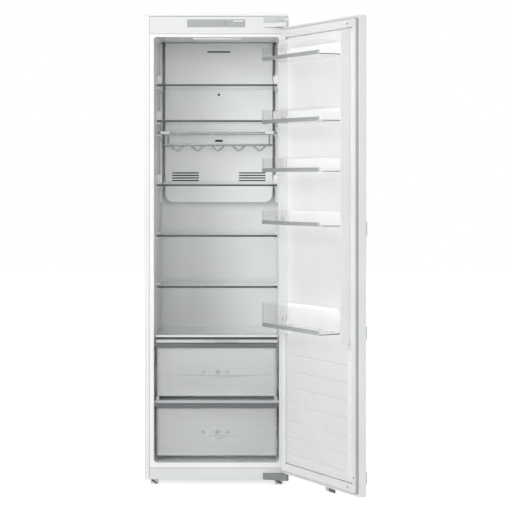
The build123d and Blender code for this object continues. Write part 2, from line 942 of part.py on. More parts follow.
with BuildPart() as crisper_trim:
    band_top = crisper_low + crisper_band
    groove_top = band_top + crisper_groove
    trim_back = crisper_trim_front + crisper_trim_depth
    with BuildSketch(side(0)):
        with BuildLine():
            Polyline(
                (crisper_trim_front + crisper_step, crisper_low),
                (crisper_trim_front + crisper_step, band_top),
                (crisper_trim_front + slider_depth, band_top),
                (crisper_trim_front + slider_depth, groove_top),
                (crisper_trim_front, groove_top),
                (crisper_trim_front, crisper_top),
                (trim_back, crisper_top),
                (trim_back, crisper_glass_low - shelf_trim_wall),
                (crisper_trim_front + 2 * slider_depth, crisper_glass_low - shelf_trim_wall),
                (crisper_trim_front + 2 * slider_depth, crisper_low),
                close=True,
            )
        make_face()
        pane((glass_front, trim_back), (crisper_glass_low, crisper_glass_low + glass), mode=Mode.SUBTRACT)
    extrude(amount=shelf_half, both=True)
    fillet(crisper_trim.edges().filter_by(Axis.X).group_by(Axis.Y)[0], shelf_trim_wall)
    with BuildSketch(front(crisper_trim_front)):
        slot_left = slider_right - slider_width - slider_travel
        pane(
            (slot_left - seat_gap, slider_right + seat_gap),
            (band_middle - slider_height / 2 - seat_gap, band_middle + slider_height / 2 + seat_gap),
        )
    extrude(amount=-(crisper_step + slider_depth / 2), mode=Mode.SUBTRACT)

with BuildPart() as humidity_slider:
    slider_back = crisper_trim_front + crisper_step + slider_depth / 2 - seat_gap
    with BuildSketch(front(slider_back)):
        pane(
            (slider_right - slider_width, slider_right),
            (band_middle - slider_height / 2, band_middle + slider_height / 2),
        )
    extrude(amount=slider_depth)
    chamfer(humidity_slider.faces().sort_by(Axis.Y)[0].edges(), slider_height / 4)
    with BuildSketch(front(slider_back - slider_depth)):
        with Locations((slider_right - slider_width / 2, band_middle)):
            with GridLocations(slider_height / 2, 0, grip_line_count, 1):
                Rectangle(slider_height / 8, slider_height)
    extrude(amount=-slider_height / 8, mode=Mode.SUBTRACT)

# Plate between the two drawers, with a folded front edge
with BuildPart() as drawer_divider:
    with BuildSketch(side(0)):
        pane((crisper_trim_front, hump_front - seat_gap), (divider_top - divider_sheet, divider_top))
        pane((crisper_trim_front, crisper_trim_front + divider_sheet), (lower_drawer_high, divider_top))
    extrude(amount=mouth_half - seat_gap, both=True)
    front_edges = drawer_divider.edges().filter_by(Axis.X).group_by(Axis.Y)[0]
    fillet(front_edges.sort_by(Axis.Z)[-1], divider_sheet / 2)

# Compressor: a welded can on a base plate with four ears, with its terminal cover and two pipes up to the niche's roof
strap_low = base_top + grommet_height
can_low = strap_low + foot_plate
can_middle = can_low + compressor_height / 2
pipes = []
for offset_y, radius in ((strap_y, pipe_radius), (-strap_y, pipe_radius * pipe_share)):
    turn_x = compressor_x + compressor_radius + pipe_reach
    start = (compressor_x, compressor_y + offset_y / 2, can_middle + pipe_reach)
    corner = (turn_x, compressor_y + offset_y / 2, can_middle + pipe_reach)
    end = (turn_x, compressor_y + offset_y / 2, niche_top - rear_sheet)
    pipes.append(wire([start, corner, end], radius))
with BuildPart() as compressor:
    with BuildSketch(level(can_low)):
        with Locations((compressor_x, compressor_y)):
            RegularPolygon(compressor_radius, round_sides)
    extrude(amount=compressor_height)
    chamfer(compressor.faces().filter_by(Plane.XY).edges(), can_dome)
    with BuildSketch(level(can_middle)):
        with Locations((compressor_x, compressor_y)):
            RegularPolygon(compressor_radius + weld_flange, round_sides)
    extrude(amount=weld_flange, both=True)
    with BuildSketch(level(strap_low)):
        with Locations((compressor_x, compressor_y)):
            Rectangle(2 * foot_plate_half, 2 * strap_y + foot_plate_width)
            with GridLocations(2 * foot_plate_half, 0, 2, 1):
                Rectangle(2 * foot_plate_width, 2 * strap_y - foot_plate_width, mode=Mode.SUBTRACT)
            with GridLocations(2 * grommet_x, 2 * strap_y, 2, 2):
                RegularPolygon(grommet_bore, small_sides, mode=Mode.SUBTRACT)
    extrude(amount=foot_plate)
    with BuildSketch(front(compressor_y - foot_plate_width)):
        with Locations((compressor_x - compressor_radius, can_middle)):
            Rectangle(foot_plate_width * 2, terminal_height)
    extrude(amount=-2 * foot_plate_width)
    add(pipes)

# Rubber grommets under the compressor's straps
with BuildPart() as compressor_grommets:
    with BuildSketch(level(base_top)):
        with Locations((compressor_x, compressor_y)):
            with GridLocations(2 * grommet_x, 2 * strap_y, 2, 2):
                RegularPolygon(grommet_radius, small_sides)
                RegularPolygon(grommet_bore, small_sides, mode=Mode.SUBTRACT)
    extrude(amount=grommet_height)
    with BuildSketch(level(base_top + grommet_height / 3)):
        with Locations((compressor_x, compressor_y)):
            with GridLocations(2 * grommet_x, 2 * strap_y, 2, 2):
                RegularPolygon(grommet_radius, small_sides)
                RegularPolygon(grommet_radius - tray_wall, small_sides, mode=Mode.SUBTRACT)
    extrude(amount=grommet_height / 3, mode=Mode.SUBTRACT)

# Defrost water tray that rests on the compressor's warm top
with BuildPart() as drip_tray:
    tray_low = can_low + compressor_height
    with BuildSketch(level(tray_low)):
        with Locations((compressor_x, compressor_y)):
            Rectangle(2 * tray_half, 2 * tray_half)
        chamfer(vertices(), tray_wall)
    extrude(amount=tray_height)
    with BuildSketch(level(tray_low + tray_wall)):
        with Locations((compressor_x, compressor_y)):
            inner_side = 2 * (tray_half - tray_wall)
            Rectangle(inner_side, inner_side)
    extrude(amount=tray_height, mode=Mode.SUBTRACT)

# Mains terminal box on the base, open towards the front, with the cord's gland in its back
with BuildPart() as terminal_box:
    box_back = rear_inner - gland_length
    box_right = box_left + box_width
    gland_x, gland_z = box_left + box_width / 2, base_top + box_height / 2
    with BuildSketch(front(box_back - box_depth)):
        pane((box_left, box_right), (base_top, base_top + box_height))
    extrude(amount=-box_depth)
    offset(amount=-box_wall, openings=terminal_box.faces().sort_by(Axis.Y)[0])
    with BuildSketch(front(box_back)):
        with Locations((gland_x, gland_z)):
            RegularPolygon(gland_radius + box_wall, small_sides)
    extrude(amount=-gland_length)
    with BuildSketch(front(box_back - box_wall)):
        with Locations((gland_x, gland_z)):
            Circle(gland_radius)
    extrude(amount=-(gland_length + box_wall), mode=Mode.SUBTRACT)

# Outer door panel: a shallow tray open towards the cabinet, with holes for the hinge bushes
with BuildPart() as door_panel:
    with BuildSketch(front(door_front)):
        pane((-door_half, door_half), (door_bottom, door_top))
    extrude(amount=door_front - rim_y)
    fillet(door_panel.faces().sort_by(Axis.Y)[0].edges(), panel_round)
    offset(amount=-panel_wall, openings=door_panel.faces().sort_by(Axis.Y)[-1])
    with BuildSketch(level(door_bottom)):
        with Locations((pivot_x, pivot_y)):
            RegularPolygon(bush_radius + pin_play, bush_sides)
    extrude(amount=door_top - door_bottom, mode=Mode.SUBTRACT)

plateau_half = gasket_half - gasket_width - plateau_gap
plateau_low = gasket_low + gasket_width + plateau_gap
plateau_high = gasket_high - gasket_width - plateau_gap
rib_low = mouth_bottom + rib_rise
rib_half = plateau_half - rib_inset


def door_form(inset):
    """The raised middle of the door's inside and its two upright ridges, moved inward by inset."""
    with BuildPart() as form:
        with BuildSketch(front(rim_y)):
            reach = plateau_half - inset
            pane((-reach, reach), (plateau_low + inset, plateau_high - inset))
            fillet(vertices(), cavity_corner - inset)
        extrude(amount=rim_y - plateau_y + inset)
        chamfer(form.faces().sort_by(Axis.Y)[-1].edges(), plateau_round - inset)
        for wall in (-1, 1):
            with BuildSketch(side(wall * (ridge_half - ridge_crest / 2))):
                pane((rim_y, ridge_y - inset), (ridge_low + inset, ridge_high - inset))
                fillet(vertices().group_by(Axis.X)[-1], ridge_round - inset)
            extrude(amount=ridge_crest / 2 - inset, both=True)
    return form.part


door_outer_form = door_form(0)
door_inner_form = door_form(panel_wall)
peg_shares = balcony_place_shares + spare_peg_shares
peg_heights = [mouth_bottom + share * mouth_height + peg_rise for share in peg_shares]

# Moulded door liner: edge flange, raised middle with its ribs, ridges and the pegs for the balconies
with BuildPart() as door_liner:
    with BuildSketch(front(rim_y)):
        edge = door_half - panel_wall
        pane((-edge, edge), (door_bottom + panel_wall, door_top - panel_wall))
    extrude(amount=-panel_wall)
    add(door_outer_form)
    with BuildSketch(front(plateau_y)):
        for k in range(rib_count):
            with Locations((rib_shift, rib_low + k * rib_pitch)):
                Rectangle(2 * (rib_half - rib_short * (k % 2)), rib_width)
        chamfer(vertices(), rib_width / 3)
    extrude(amount=-rib_height)
    for wall in (-1, 1):
        with BuildSketch(side(wall * (ridge_half - ridge_crest))):
            with Locations(*[(peg_y, z) for z in peg_heights]):
                RegularPolygon(peg_radius, peg_sides)
        extrude(amount=-wall * peg_length)
    add(door_inner_form, mode=Mode.SUBTRACT)

# Foam core between the door panel and the door liner
with BuildPart() as door_foam:
    core_half = door_half - panel_wall
    with BuildSketch(front(door_front + panel_wall)):
        pane((-core_half, core_half), (door_bottom + panel_wall, door_top - panel_wall))
    extrude(amount=door_front + panel_wall - rim_y)
    chamfer(door_foam.faces().sort_by(Axis.Y)[0].edges(), panel_round - panel_wall / 2)
    add(door_inner_form)
    for end, inward in ((door_bottom, 1), (door_top, -1)):
        with BuildSketch(level(end)):
            with Locations((pivot_x, pivot_y)):
                RegularPolygon(bush_radius + pin_play, bush_sides)
        extrude(amount=inward * (pin_length + bush_wall), mode=Mode.SUBTRACT)

# Magnetic gasket: a narrow foot in the door liner and a broad face that closes on the cabinet
with BuildPart() as door_gasket:
    foot_y_low = rim_y + panel_wall
    foot_inset = gasket_round
    with BuildSketch(front(foot_y_low)):
        outer = gasket_half - foot_inset
        inner = outer - gasket_foot
        pane((-outer, outer), (gasket_low + foot_inset, gasket_high - foot_inset))
        low, high = gasket_low + foot_inset + gasket_foot, gasket_high - foot_inset - gasket_foot
        pane((-inner, inner), (low, high), mode=Mode.SUBTRACT)
    extrude(amount=-gasket_foot_height)
    with BuildSketch(front(foot_y_low + gasket_foot_height)):
        pane((-gasket_half, gasket_half), (gasket_low, gasket_high))
        inner = gasket_half - gasket_width
        low, high = gasket_low + gasket_width, gasket_high - gasket_width
        pane((-inner, inner), (low, high), mode=Mode.SUBTRACT)
    extrude(amount=seat_gap + foot_y_low + gasket_foot_height)
    fillet(door_gasket.faces().sort_by(Axis.Y)[-1].outer_wire().edges(), gasket_round)

# Hinge bushes in the door's two ends
with BuildPart() as door_bushes:
    for end, inward in ((door_bottom, 1), (door_top, -1)):
        with BuildSketch(level(end)):
            with Locations((pivot_x, pivot_y)):
                RegularPolygon(bush_radius + bush_flange, bush_sides)
        extrude(amount=-inward * bush_flange_height)
        with BuildSketch(level(end)):
            with Locations((pivot_x, pivot_y)):
                RegularPolygon(bush_radius, bush_sides)
        extrude(amount=inward * (pin_length + bush_wall))
        with BuildSketch(level(end - inward * bush_flange_height)):
            with Locations((pivot_x, pivot_y)):
                Circle(pin_radius + pin_play)
        extrude(amount=inward * (pin_length + bush_flange_height), mode=Mode.SUBTRACT)


def balcony_plan(grow):
    """The plan of a balcony, moved outward by grow, with its two front corners rounded."""
    with BuildSketch() as plan:
        reach = balcony_half + grow
        pane((-reach, reach), (plateau_y + balcony_gap - grow, balcony_front + grow))
        fillet(vertices().group_by(Axis.Y)[-1], balcony_corner + grow)
    return plan.sketch


def balcony(low, tall):
    """A clear door balcony with a lug at each end that hooks over a peg on the door's ridge."""
    with BuildPart() as tub:
        with BuildSketch(level(low)):
            add(balcony_plan(0))
        extrude(amount=tall)
        with BuildSketch(level(low + balcony_wall)):
            add(balcony_plan(-balcony_wall))
        extrude(amount=tall, mode=Mode.SUBTRACT)
        for wall in (-1, 1):
            with BuildSketch(side(wall * balcony_half)):
                peg_z = low + peg_rise
                slot_half = peg_radius + seat_gap
                lug_span = (peg_y - lug_width / 2, peg_y + lug_width / 2)
                pane(lug_span, (peg_z - lug_height, peg_z + lug_height))
                with Locations((peg_y, peg_z)):
                    RegularPolygon(slot_half, peg_sides, mode=Mode.SUBTRACT)
                pane((peg_y - slot_half, peg_y + slot_half), (peg_z - lug_height, peg_z), mode=Mode.SUBTRACT)
            extrude(amount=wall * lug_thick)
    return tub


def balcony_band(low):
    """The silver strip round a balcony's front, low down."""
    with BuildPart() as band:
        with BuildSketch(level(low)):
            add(balcony_plan(band_sheet))
            add(balcony_plan(0), mode=Mode.SUBTRACT)
            pane((-half, half), (-half, balcony_front - band_run), mode=Mode.SUBTRACT)
        extrude(amount=band_height)
    return band


balconies = {}
for k, low in enumerate(balcony_lows, start=1):
    tall = bottle_balcony_height if k == len(balcony_lows) else balcony_height
    balconies[f"balcony_{k}"] = balcony(low, tall)
    balconies[f"balcony_{k}_band"] = balcony_band(low)

# Brackets for the furniture door: one under the door and three guides on its outside near the free edge
with BuildPart() as furniture_brackets:
    with BuildSketch(side(bracket_x)):
        pane((door_front, pivot_y), (door_bottom - bracket_sheet, door_bottom))
        pane((door_front, door_front + bracket_sheet), (door_bottom - bracket_drop, door_bottom))
    extrude(amount=bracket_width / 2, both=True)
    with BuildSketch(front(door_front)):
        with Locations((bracket_x, door_bottom - bracket_drop / 2)):
            Circle(screw_radius)
    extrude(amount=-bracket_sheet, mode=Mode.SUBTRACT)
    guide_x = panel_round + guide_width / 2 - door_half
    door_height = door_top - door_bottom
    guide_places = [(guide_x, door_bottom + share * door_height) for share in guide_place_shares]
    with BuildSketch(front(door_front)):
        with Locations(*guide_places):
            Rectangle(guide_width, guide_height)
            Circle(screw_radius, mode=Mode.SUBTRACT)
    extrude(amount=guide_thick)

# Every piece under its node's name: first those drawn in place, then those of the door, drawn shut
fixed = {
    "outer_case": outer_case,
    "rear_panel": rear_panel,
    "base_plate": base_plate,
    "inner_liner": inner_liner,
    "insulation_foam": insulation_foam,
    "condenser_tube": condenser_tube,
    "control_fascia": control_fascia,
    "control_panel": control_panel,
    "set_button": set_button,
    "bottom_fascia": bottom_fascia,
    "top_hinge": top_hinge,
    "bottom_hinge": bottom_hinge,
    "left_foot": left_foot,
    "right_foot": right_foot,
    "rear_feet": rear_feet,
    "lamp_lens": lamp_lens,
    "duct_cover": duct_cover,
    "evaporator": evaporator,
    "fan_frame": fan_frame,
    "fan_rotor": fan_rotor,
    "bottle_rack": bottle_rack,
    "rack_clips": rack_clips,
    "crisper_cover": crisper_cover,
    "crisper_trim": crisper_trim,
    "humidity_slider": humidity_slider,
    "drawer_divider": drawer_divider,
    "compressor": compressor,
    "compressor_grommets": compressor_grommets,
    "drip_tray": drip_tray,
    "terminal_box": terminal_box,
    **shelves,
    **drawers,
}
on_door = {
    "door_panel": door_panel,
    "door_foam": door_foam,
    "door_liner": door_liner,
    "door_gasket": door_gasket,
    "door_bushes": door_bushes,
    "furniture_brackets": furniture_brackets,
    **balconies,
}

os.makedirs("parts", exist_ok=True)
for name, piece in fixed.items():
    piece.part.label = name
    export_step(piece.part, f"parts/{name}.step")
for name, piece in on_door.items():
    opened = piece.part.rotate(hinge_axis, door_open)
    opened.label = name
    export_step(opened, f"parts/{name}.step")
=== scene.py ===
import math

import bmesh
import bpy
import numpy as np
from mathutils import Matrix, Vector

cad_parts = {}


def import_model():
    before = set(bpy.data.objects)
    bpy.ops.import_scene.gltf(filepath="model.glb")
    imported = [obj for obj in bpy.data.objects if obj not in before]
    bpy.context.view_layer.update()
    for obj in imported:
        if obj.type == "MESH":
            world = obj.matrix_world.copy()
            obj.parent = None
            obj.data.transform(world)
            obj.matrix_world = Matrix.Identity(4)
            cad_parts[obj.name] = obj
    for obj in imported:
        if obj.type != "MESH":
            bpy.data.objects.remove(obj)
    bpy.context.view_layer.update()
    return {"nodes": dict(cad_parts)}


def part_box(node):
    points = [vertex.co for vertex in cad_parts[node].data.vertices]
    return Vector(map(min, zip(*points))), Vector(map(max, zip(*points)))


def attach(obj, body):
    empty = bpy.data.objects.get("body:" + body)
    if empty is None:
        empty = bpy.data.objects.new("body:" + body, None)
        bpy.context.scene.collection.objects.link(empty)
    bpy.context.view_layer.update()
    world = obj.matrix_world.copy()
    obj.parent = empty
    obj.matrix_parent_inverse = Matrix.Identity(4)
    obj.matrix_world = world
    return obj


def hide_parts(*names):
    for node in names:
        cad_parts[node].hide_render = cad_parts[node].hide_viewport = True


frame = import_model()
nodes = frame["nodes"]

MM = 0.001

# Points of a piece that lie closer than this, in metres, are one
WELD = 1e-6

# The door is worked out shut, in millimetres, and swung open about its pin line
PIVOT = np.array([259.0, -20.0])
DOOR_OPEN = math.radians(118.5)
DOOR_HALF = 268.0
DOOR_LOW, DOOR_HIGH = 48.0, 1714.0
RIM_Y = -14.3

# Quarter bends have this many steps, and eased edges this many points
BEND_STEPS = 8
EASE_POINTS = 5

# An inset never draws a corner in to less than this radius, in a block or in a frame
LEAST_RADIUS = 0.01
LEAST_FRAME_RADIUS = 0.5

# A direction counts as upright where its share along Z is over this
NEAR_UPRIGHT = 0.9

TO_FRONT = (0, -1, 0)
TO_BACK = (0, 1, 0)
UP = (0, 0, 1)
DOWN = (0, 0, -1)


# Surfaces


def low(node):
    """A node's lowest corner, in millimetres."""
    return np.array(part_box(node)[0]) / MM


def high(node):
    """A node's highest corner, in millimetres."""
    return np.array(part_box(node)[1]) / MM


def skin(points, along=False):
    """A shell over a grid of points whose rows are closed rings. along joins the last row to the first;
    otherwise a flat cap closes each end."""
    rows, cols = points.shape[:2]
    i = np.arange(rows if along else rows - 1)[:, None]
    j = np.arange(cols)[None, :]
    here, there = i * cols, (i + 1) % rows * cols
    beside = (j + 1) % cols
    quads = np.stack([here + j, here + beside, there + beside, there + j], axis=-1).reshape(-1, 4)
    caps = [] if along else [list(range(cols)), list(range((rows - 1) * cols, rows * cols))]
    return points.reshape(-1, 3), quads.tolist() + caps


def stood(shell, origin, normal, turn=0.0):
    """Sets a shell drawn about the Z axis at origin, with its Z along normal, turned about it."""
    points, faces = shell
    z = np.array(normal, float) / np.linalg.norm(normal)
    spare = np.array([0.0, 0.0, 1.0]) if abs(z[2]) < NEAR_UPRIGHT else np.array([0.0, 1.0, 0.0])
    x = np.cross(spare, z)
    x /= np.linalg.norm(x)
    y = np.cross(z, x)
    c, s = math.cos(turn), math.sin(turn)
    axes = np.array([c * x + s * y, c * y - s * x, z])
    return points @ axes + np.array(origin, float), faces


def lathe(radii, heights, sides):
    """A profile of radius and height carried round the Z axis."""
    turn = np.linspace(0, 2 * np.pi, sides, endpoint=False)
    r, h = np.array(radii, float)[:, None], np.array(heights, float)[:, None]
    return skin(np.stack([r * np.cos(turn), r * np.sin(turn), h + 0 * turn], axis=-1))


def rounded(half_x, half_y, radius):
    """The outline of a rounded rectangle: four quarter circles, each about its own corner's centre."""
    quarter = np.linspace(0, np.pi / 2, BEND_STEPS + 1)
    start = np.arange(4)[:, None] * np.pi / 2
    angle = (start + quarter).ravel()
    sign_x = np.repeat([1, -1, -1, 1], BEND_STEPS + 1)
    sign_y = np.repeat([1, 1, -1, -1], BEND_STEPS + 1)
    x = sign_x * (half_x - radius) + radius * np.cos(angle)
    y = sign_y * (half_y - radius) + radius * np.sin(angle)
    return np.stack([x, y], axis=-1)


def stacked(half_x, half_y, radius, insets, heights):
    """A rounded block: the same outline at each height, drawn in by that height's inset."""
    layers = []
    for inset, height in zip(insets, heights):
        outline = rounded(half_x - inset, half_y - inset, max(radius - inset, LEAST_RADIUS))
        layers.append(np.column_stack([outline, np.full(len(outline), height)]))
    return skin(np.array(layers))


def eased_block(half_x, half_y, radius, height, ease):
    """A rounded block with its top edge eased by a quarter circle."""
    t = np.linspace(0, np.pi / 2, EASE_POINTS)
    insets = [0.0, *(ease * (1 - np.cos(t)))]
    heights = [0.0, *(height - ease + ease * np.sin(t))]
    return stacked(half_x, half_y, radius, insets, heights)


def plate(outline, height):
    """A flat plate with any outline, drawn on the XY plane and thickened upwards."""
    base = np.column_stack([outline, np.zeros(len(outline))])
    return skin(np.array([base, base + [0, 0, height]]))


def bent(points, radius, closed=False):
    """A line through points with each corner turned into a circular arc that touches both its runs."""
    p = np.array(points, float)
    back, ahead = np.roll(p, 1, axis=0) - p, np.roll(p, -1, axis=0) - p
    inner = slice(None) if closed else slice(1, -1)
    corner, back, ahead = p[inner], back[inner], ahead[inner]
    back /= np.linalg.norm(back, axis=1)[:, None]
    ahead /= np.linalg.norm(ahead, axis=1)[:, None]
    half_angle = np.arccos(np.clip((back * ahead).sum(1), -1, 1))[:, None] / 2
    middle = (back + ahead) / np.linalg.norm(back + ahead, axis=1)[:, None]
    centre = corner + middle * radius / np.sin(half_angle)
    across = (back - ahead) / np.linalg.norm(back - ahead, axis=1)[:, None]
    sweep = np.linspace(1, -1, BEND_STEPS + 1)[None, :, None] * (np.pi / 2 - half_angle[:, None])
    arcs = centre[:, None] + radius * (np.sin(sweep) * across[:, None] - np.cos(sweep) * middle[:, None])
    line = arcs.reshape(-1, 3)
    return line if closed else np.vstack([p[:1], line, p[-1:]])


def tube(line, radius, up, sides=14, closed=False):
    """A round wire along a line that lies in one plane; up is that plane's normal."""
    ahead = np.roll(line, -1, axis=0) - line
    back = line - np.roll(line, 1, axis=0)
    if not closed:
        ahead[-1], back[0] = back[-1], ahead[0]
    way = ahead / np.linalg.norm(ahead, axis=1)[:, None] + back / np.linalg.norm(back, axis=1)[:, None]
    way /= np.linalg.norm(way, axis=1)[:, None]
    up = np.array(up, float)
    side = np.cross(way, up)
    side /= np.linalg.norm(side, axis=1)[:, None]
    turn = np.linspace(0, 2 * np.pi, sides, endpoint=False)[None, :, None]
    ring = line[:, None] + radius * (np.cos(turn) * side[:, None] + np.sin(turn) * up)
    return skin(ring, along=closed)


def framed(profile, half, bottom, top, radius):
    """A closed profile carried round a rounded upright frame. Each profile point is a distance in from
    the frame's outer edge and a depth y."""
    half_height, centre = (top - bottom) / 2, (bottom + top) / 2
    rings = []
    for inset, y in profile:
        line = rounded(half - inset, half_height - inset, max(radius - inset, LEAST_FRAME_RADIUS))
        rings.append(np.column_stack([line[:, 0], np.full(len(line), y), line[:, 1] + centre]))
    return skin(np.array(rings), along=True)


def swung(shell):
    """Turns a shell that was drawn on the shut door to where the open door stands."""
    points, faces = shell
    c, s = math.cos(DOOR_OPEN), math.sin(DOOR_OPEN)
    x, y = points[:, 0] - PIVOT[0], points[:, 1] - PIVOT[1]
    return np.column_stack([PIVOT[0] + c * x - s * y, PIVOT[1] + s * x + c * y, points[:, 2]]), faces


def piece(name, shells, body, material, smooth_below=35.0):
    """Joins shells into one object that rides on a body. Edges flatter than smooth_below degrees are
    shaded smooth."""
    start, points, faces = 0, [], []
    for shell_points, shell_faces in shells:
        points.append(shell_points)
        faces += [[k + start for k in face] for face in shell_faces]
        start += len(shell_points)
    mesh = bpy.data.meshes.new(name)
    mesh.from_pydata((np.vstack(points) * MM).tolist(), [], faces)
    work = bmesh.new()
    work.from_mesh(mesh)
    bmesh.ops.remove_doubles(work, verts=work.verts, dist=WELD)
    bmesh.ops.recalc_face_normals(work, faces=work.faces)
    work.to_mesh(mesh)
    work.free()
    mesh.shade_smooth()
    mesh.set_sharp_from_angle(angle=math.radians(smooth_below))
    mesh.materials.append(material)
    made = bpy.data.objects.new(name, mesh)
    bpy.context.scene.collection.objects.link(made)
    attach(made, body)
    return made


def dress(material, *names):
    """Gives CAD nodes a finished material."""
    for name in names:
        for place in nodes[name].material_slots:
            place.material = material


# Materials


def linear(code):
    """Turns an sRGB hex colour into linear RGBA."""
    parts = [int(code[i : i + 2], 16) / 255 for i in (1, 3, 5)]
    return [c / 12.92 if c <= 0.04045 else ((c + 0.055) / 1.055) ** 2.4 for c in parts] + [1.0]


def put(tree, kind, inputs=None, **settings):
    """Adds one node, sets its properties, and fills its inputs with values or links."""
    node = tree.nodes.new(kind)
    for name, value in settings.items():
        setattr(node, name, value)
    for name, value in (inputs or {}).items():
        if isinstance(value, bpy.types.NodeSocket):
            tree.links.new(value, node.inputs[name])
        else:
            node.inputs[name].default_value = value
    return node


def blank(name):
    """A new material with an empty node tree, and its tree and Object coordinates."""
    material = bpy.data.materials.new(name)
    material.use_nodes = True
    tree = material.node_tree
    tree.nodes.clear()
    place = put(tree, "ShaderNodeTexCoord").outputs["Object"]
    return material, tree, place


def finish(tree, shader):
    """Links a shader to the material's output."""
    put(tree, "ShaderNodeOutputMaterial", {"Surface": shader})


# The soft clouds in a skin's tone and gloss are this wide. Nearly all values of a noise lie between
# NOISE_LOW and NOISE_HIGH
CLOUD_MM = 190
NOISE_LOW, NOISE_HIGH = 0.3, 0.7

# How far a skin's roughness falls and rises about its mean, the values of its clouds at which its
# colour reaches shade and tone, and how strongly its grain stands out
GLOSSIER, DULLER = 0.04, 0.05
SHADE_AT, TONE_AT = 0.35, 0.65
GRAIN_SHARE = 0.35


def per_metre(size_mm):
    """The texture scale whose features are about size_mm across."""
    return 1000 / size_mm


def ramp(tree, value, *stops):
    """A colour ramp through (place, hex colour) stops."""
    node = put(tree, "ShaderNodeValToRGB", {"Fac": value})
    band = node.color_ramp
    while len(band.elements) < len(stops):
        band.elements.new(0.5)
    for element, (place, code) in zip(band.elements, stops):
        element.position, element.color = place, linear(code)
    return node.outputs["Color"]


def noise(tree, place, size_mm, detail):
    """A noise whose features are about size_mm across."""
    node = put(tree, "ShaderNodeTexNoise", {"Vector": place, "Scale": per_metre(size_mm), "Detail": detail})
    return node.outputs["Fac"]


def principled(tree, **inputs):
    """The shader of a solid surface. An input's name is written with _ for each space."""
    named = {name.replace("_", " "): value for name, value in inputs.items()}
    return put(tree, "ShaderNodeBsdfPrincipled", named).outputs["BSDF"]


def clouds(tree, place, size_mm, low_value, high_value, detail=2.0):
    """A soft noise of a given size, mapped between two values."""
    cloud = noise(tree, place, size_mm, detail)
    limits = {"From Min": NOISE_LOW, "From Max": NOISE_HIGH, "To Min": low_value, "To Max": high_value}
    span = put(tree, "ShaderNodeMapRange", {"Value": cloud, **limits})
    return cloud, span.outputs["Result"]


def relief(tree, height, depth_mm, strength):
    """A bump of a given depth from a height between 0 and 1."""
    node = put(tree, "ShaderNodeBump", {"Height": height, "Strength": strength, "Distance": depth_mm * MM})
    return node.outputs["Normal"]


def moulded(name, shade, tone, rough, grain_mm, grain_depth_mm, **shader):
    """A moulded or painted skin: a fine grain in its normal, soft clouds in its gloss and its tone.
    shade and tone are the two colours that the clouds run between."""
    material, tree, place = blank(name)
    grain = noise(tree, place, grain_mm, 3.0)
    cloud, gloss = clouds(tree, place, CLOUD_MM, rough - GLOSSIER, rough + DULLER)
    body = principled(
        tree,
        Base_Color=ramp(tree, cloud, (SHADE_AT, shade), (TONE_AT, tone)),
        Roughness=gloss,
        Normal=relief(tree, grain, grain_depth_mm, GRAIN_SHARE),
        **shader,
    )
    finish(tree, body)
    return material


def see_through(name, tint, rough, ior, wave_mm, wave_depth_mm, shadow_tint, clear=1.0):
    """A clear or milky plastic or glass: it bends light, and its shadow rays pass almost straight
    through, because caustics are too dim and noisy to light what lies behind it. clear is the share
    of light that goes through; the rest scatters as in a milky plastic."""
    material, tree, place = blank(name)
    body = principled(
        tree,
        Base_Color=linear(tint),
        Roughness=rough,
        IOR=ior,
        Transmission_Weight=clear,
        Normal=relief(tree, noise(tree, place, wave_mm, 1.0), wave_depth_mm, 0.3),
    )
    through = put(tree, "ShaderNodeBsdfTransparent", {"Color": linear(shadow_tint)})
    ray = put(tree, "ShaderNodeLightPath")
    either = put(
        tree,
        "ShaderNodeMixShader",
        {0: ray.outputs["Is Shadow Ray"], 1: body, 2: through.outputs["BSDF"]},
    )
    finish(tree, either.outputs["Shader"])
    return material


# Grains, orange peel and drawn lines are finer than a picture of the whole object can show, so here
# they are as coarse as they need to be to be seen

# White lacquer on steel sheet: smooth and satin, with the faint orange peel of a sprayed coat
lacquered_steel = moulded(
    "lacquered_steel", "#EAEBEB", "#EEEFEF", 0.34, 2.4, 0.02, Coat_Weight=0.15, Coat_Roughness=0.2
)

# The same lacquer on the door's outer skin, a shade brighter: painted light that lifts the door's edge, which
# the key lamp hardly reaches
door_lacquer_painted_light = moulded(
    "door_lacquer_painted_light", "#EFF0F0", "#F2F3F3", 0.34, 2.4, 0.02, Coat_Weight=0.15, Coat_Roughness=0.2
)

# A greyer powder coat on the hinge's arm, with a coarser orange peel
hinge_lacquer = moulded("hinge_lacquer", "#DCDEDE", "#E1E3E3", 0.4, 3.0, 0.03)

# Vacuum-formed polystyrene: a soft white sheen, drawn a little uneven as the warm sheet cools
formed_polystyrene = moulded("formed_polystyrene", "#F2F3F3", "#F6F7F7", 0.36, 9.0, 0.05)

# Injection-moulded polystyrene of the duct cover: whiter and a little glossier than the formed sheet
duct_polystyrene = moulded("duct_polystyrene", "#F9FAFA", "#FCFDFD", 0.32, 6.0, 0.03)

# Formed polystyrene in the door, a shade greyer than in the cabinet
door_polystyrene = moulded("door_polystyrene", "#E8E9E9", "#ECEDED", 0.38, 9.0, 0.04)

# Injection-moulded ABS: white with a fine spark-eroded grain
white_abs = moulded("white_abs", "#E2E4E4", "#E6E7E7", 0.42, 1.1, 0.03)

# Charcoal pads behind the duct's openings: painted shade for the unlit inside of the duct, dull, with a grain
# of about 0.8 mm
painted_duct_shade = moulded("painted_duct_shade", "#3C3D3F", "#454648", 0.9, 0.8, 0.1)

# Light grey ABS over the top hinge: painted shade for the recess round the hinge, which lies in shade
hinge_recess_shade_abs = moulded("hinge_recess_shade_abs", "#CBCDCE", "#D0D2D3", 0.45, 1.1, 0.03)

# Light grey ABS of the vent's slider
slider_abs = moulded("slider_abs", "#BFC1C2", "#C5C7C8", 0.42, 1.1, 0.03)

# The same plastic on the rail between the drawers, a shade darker
rail_abs = moulded("rail_abs", "#B4B6B7", "#BABCBD", 0.45, 1.1, 0.03)

# Screen-printed polyester overlay: matt light grey
printed_overlay = moulded("printed_overlay", "#AAACAD", "#AFB1B2", 0.5, 0.9, 0.01)

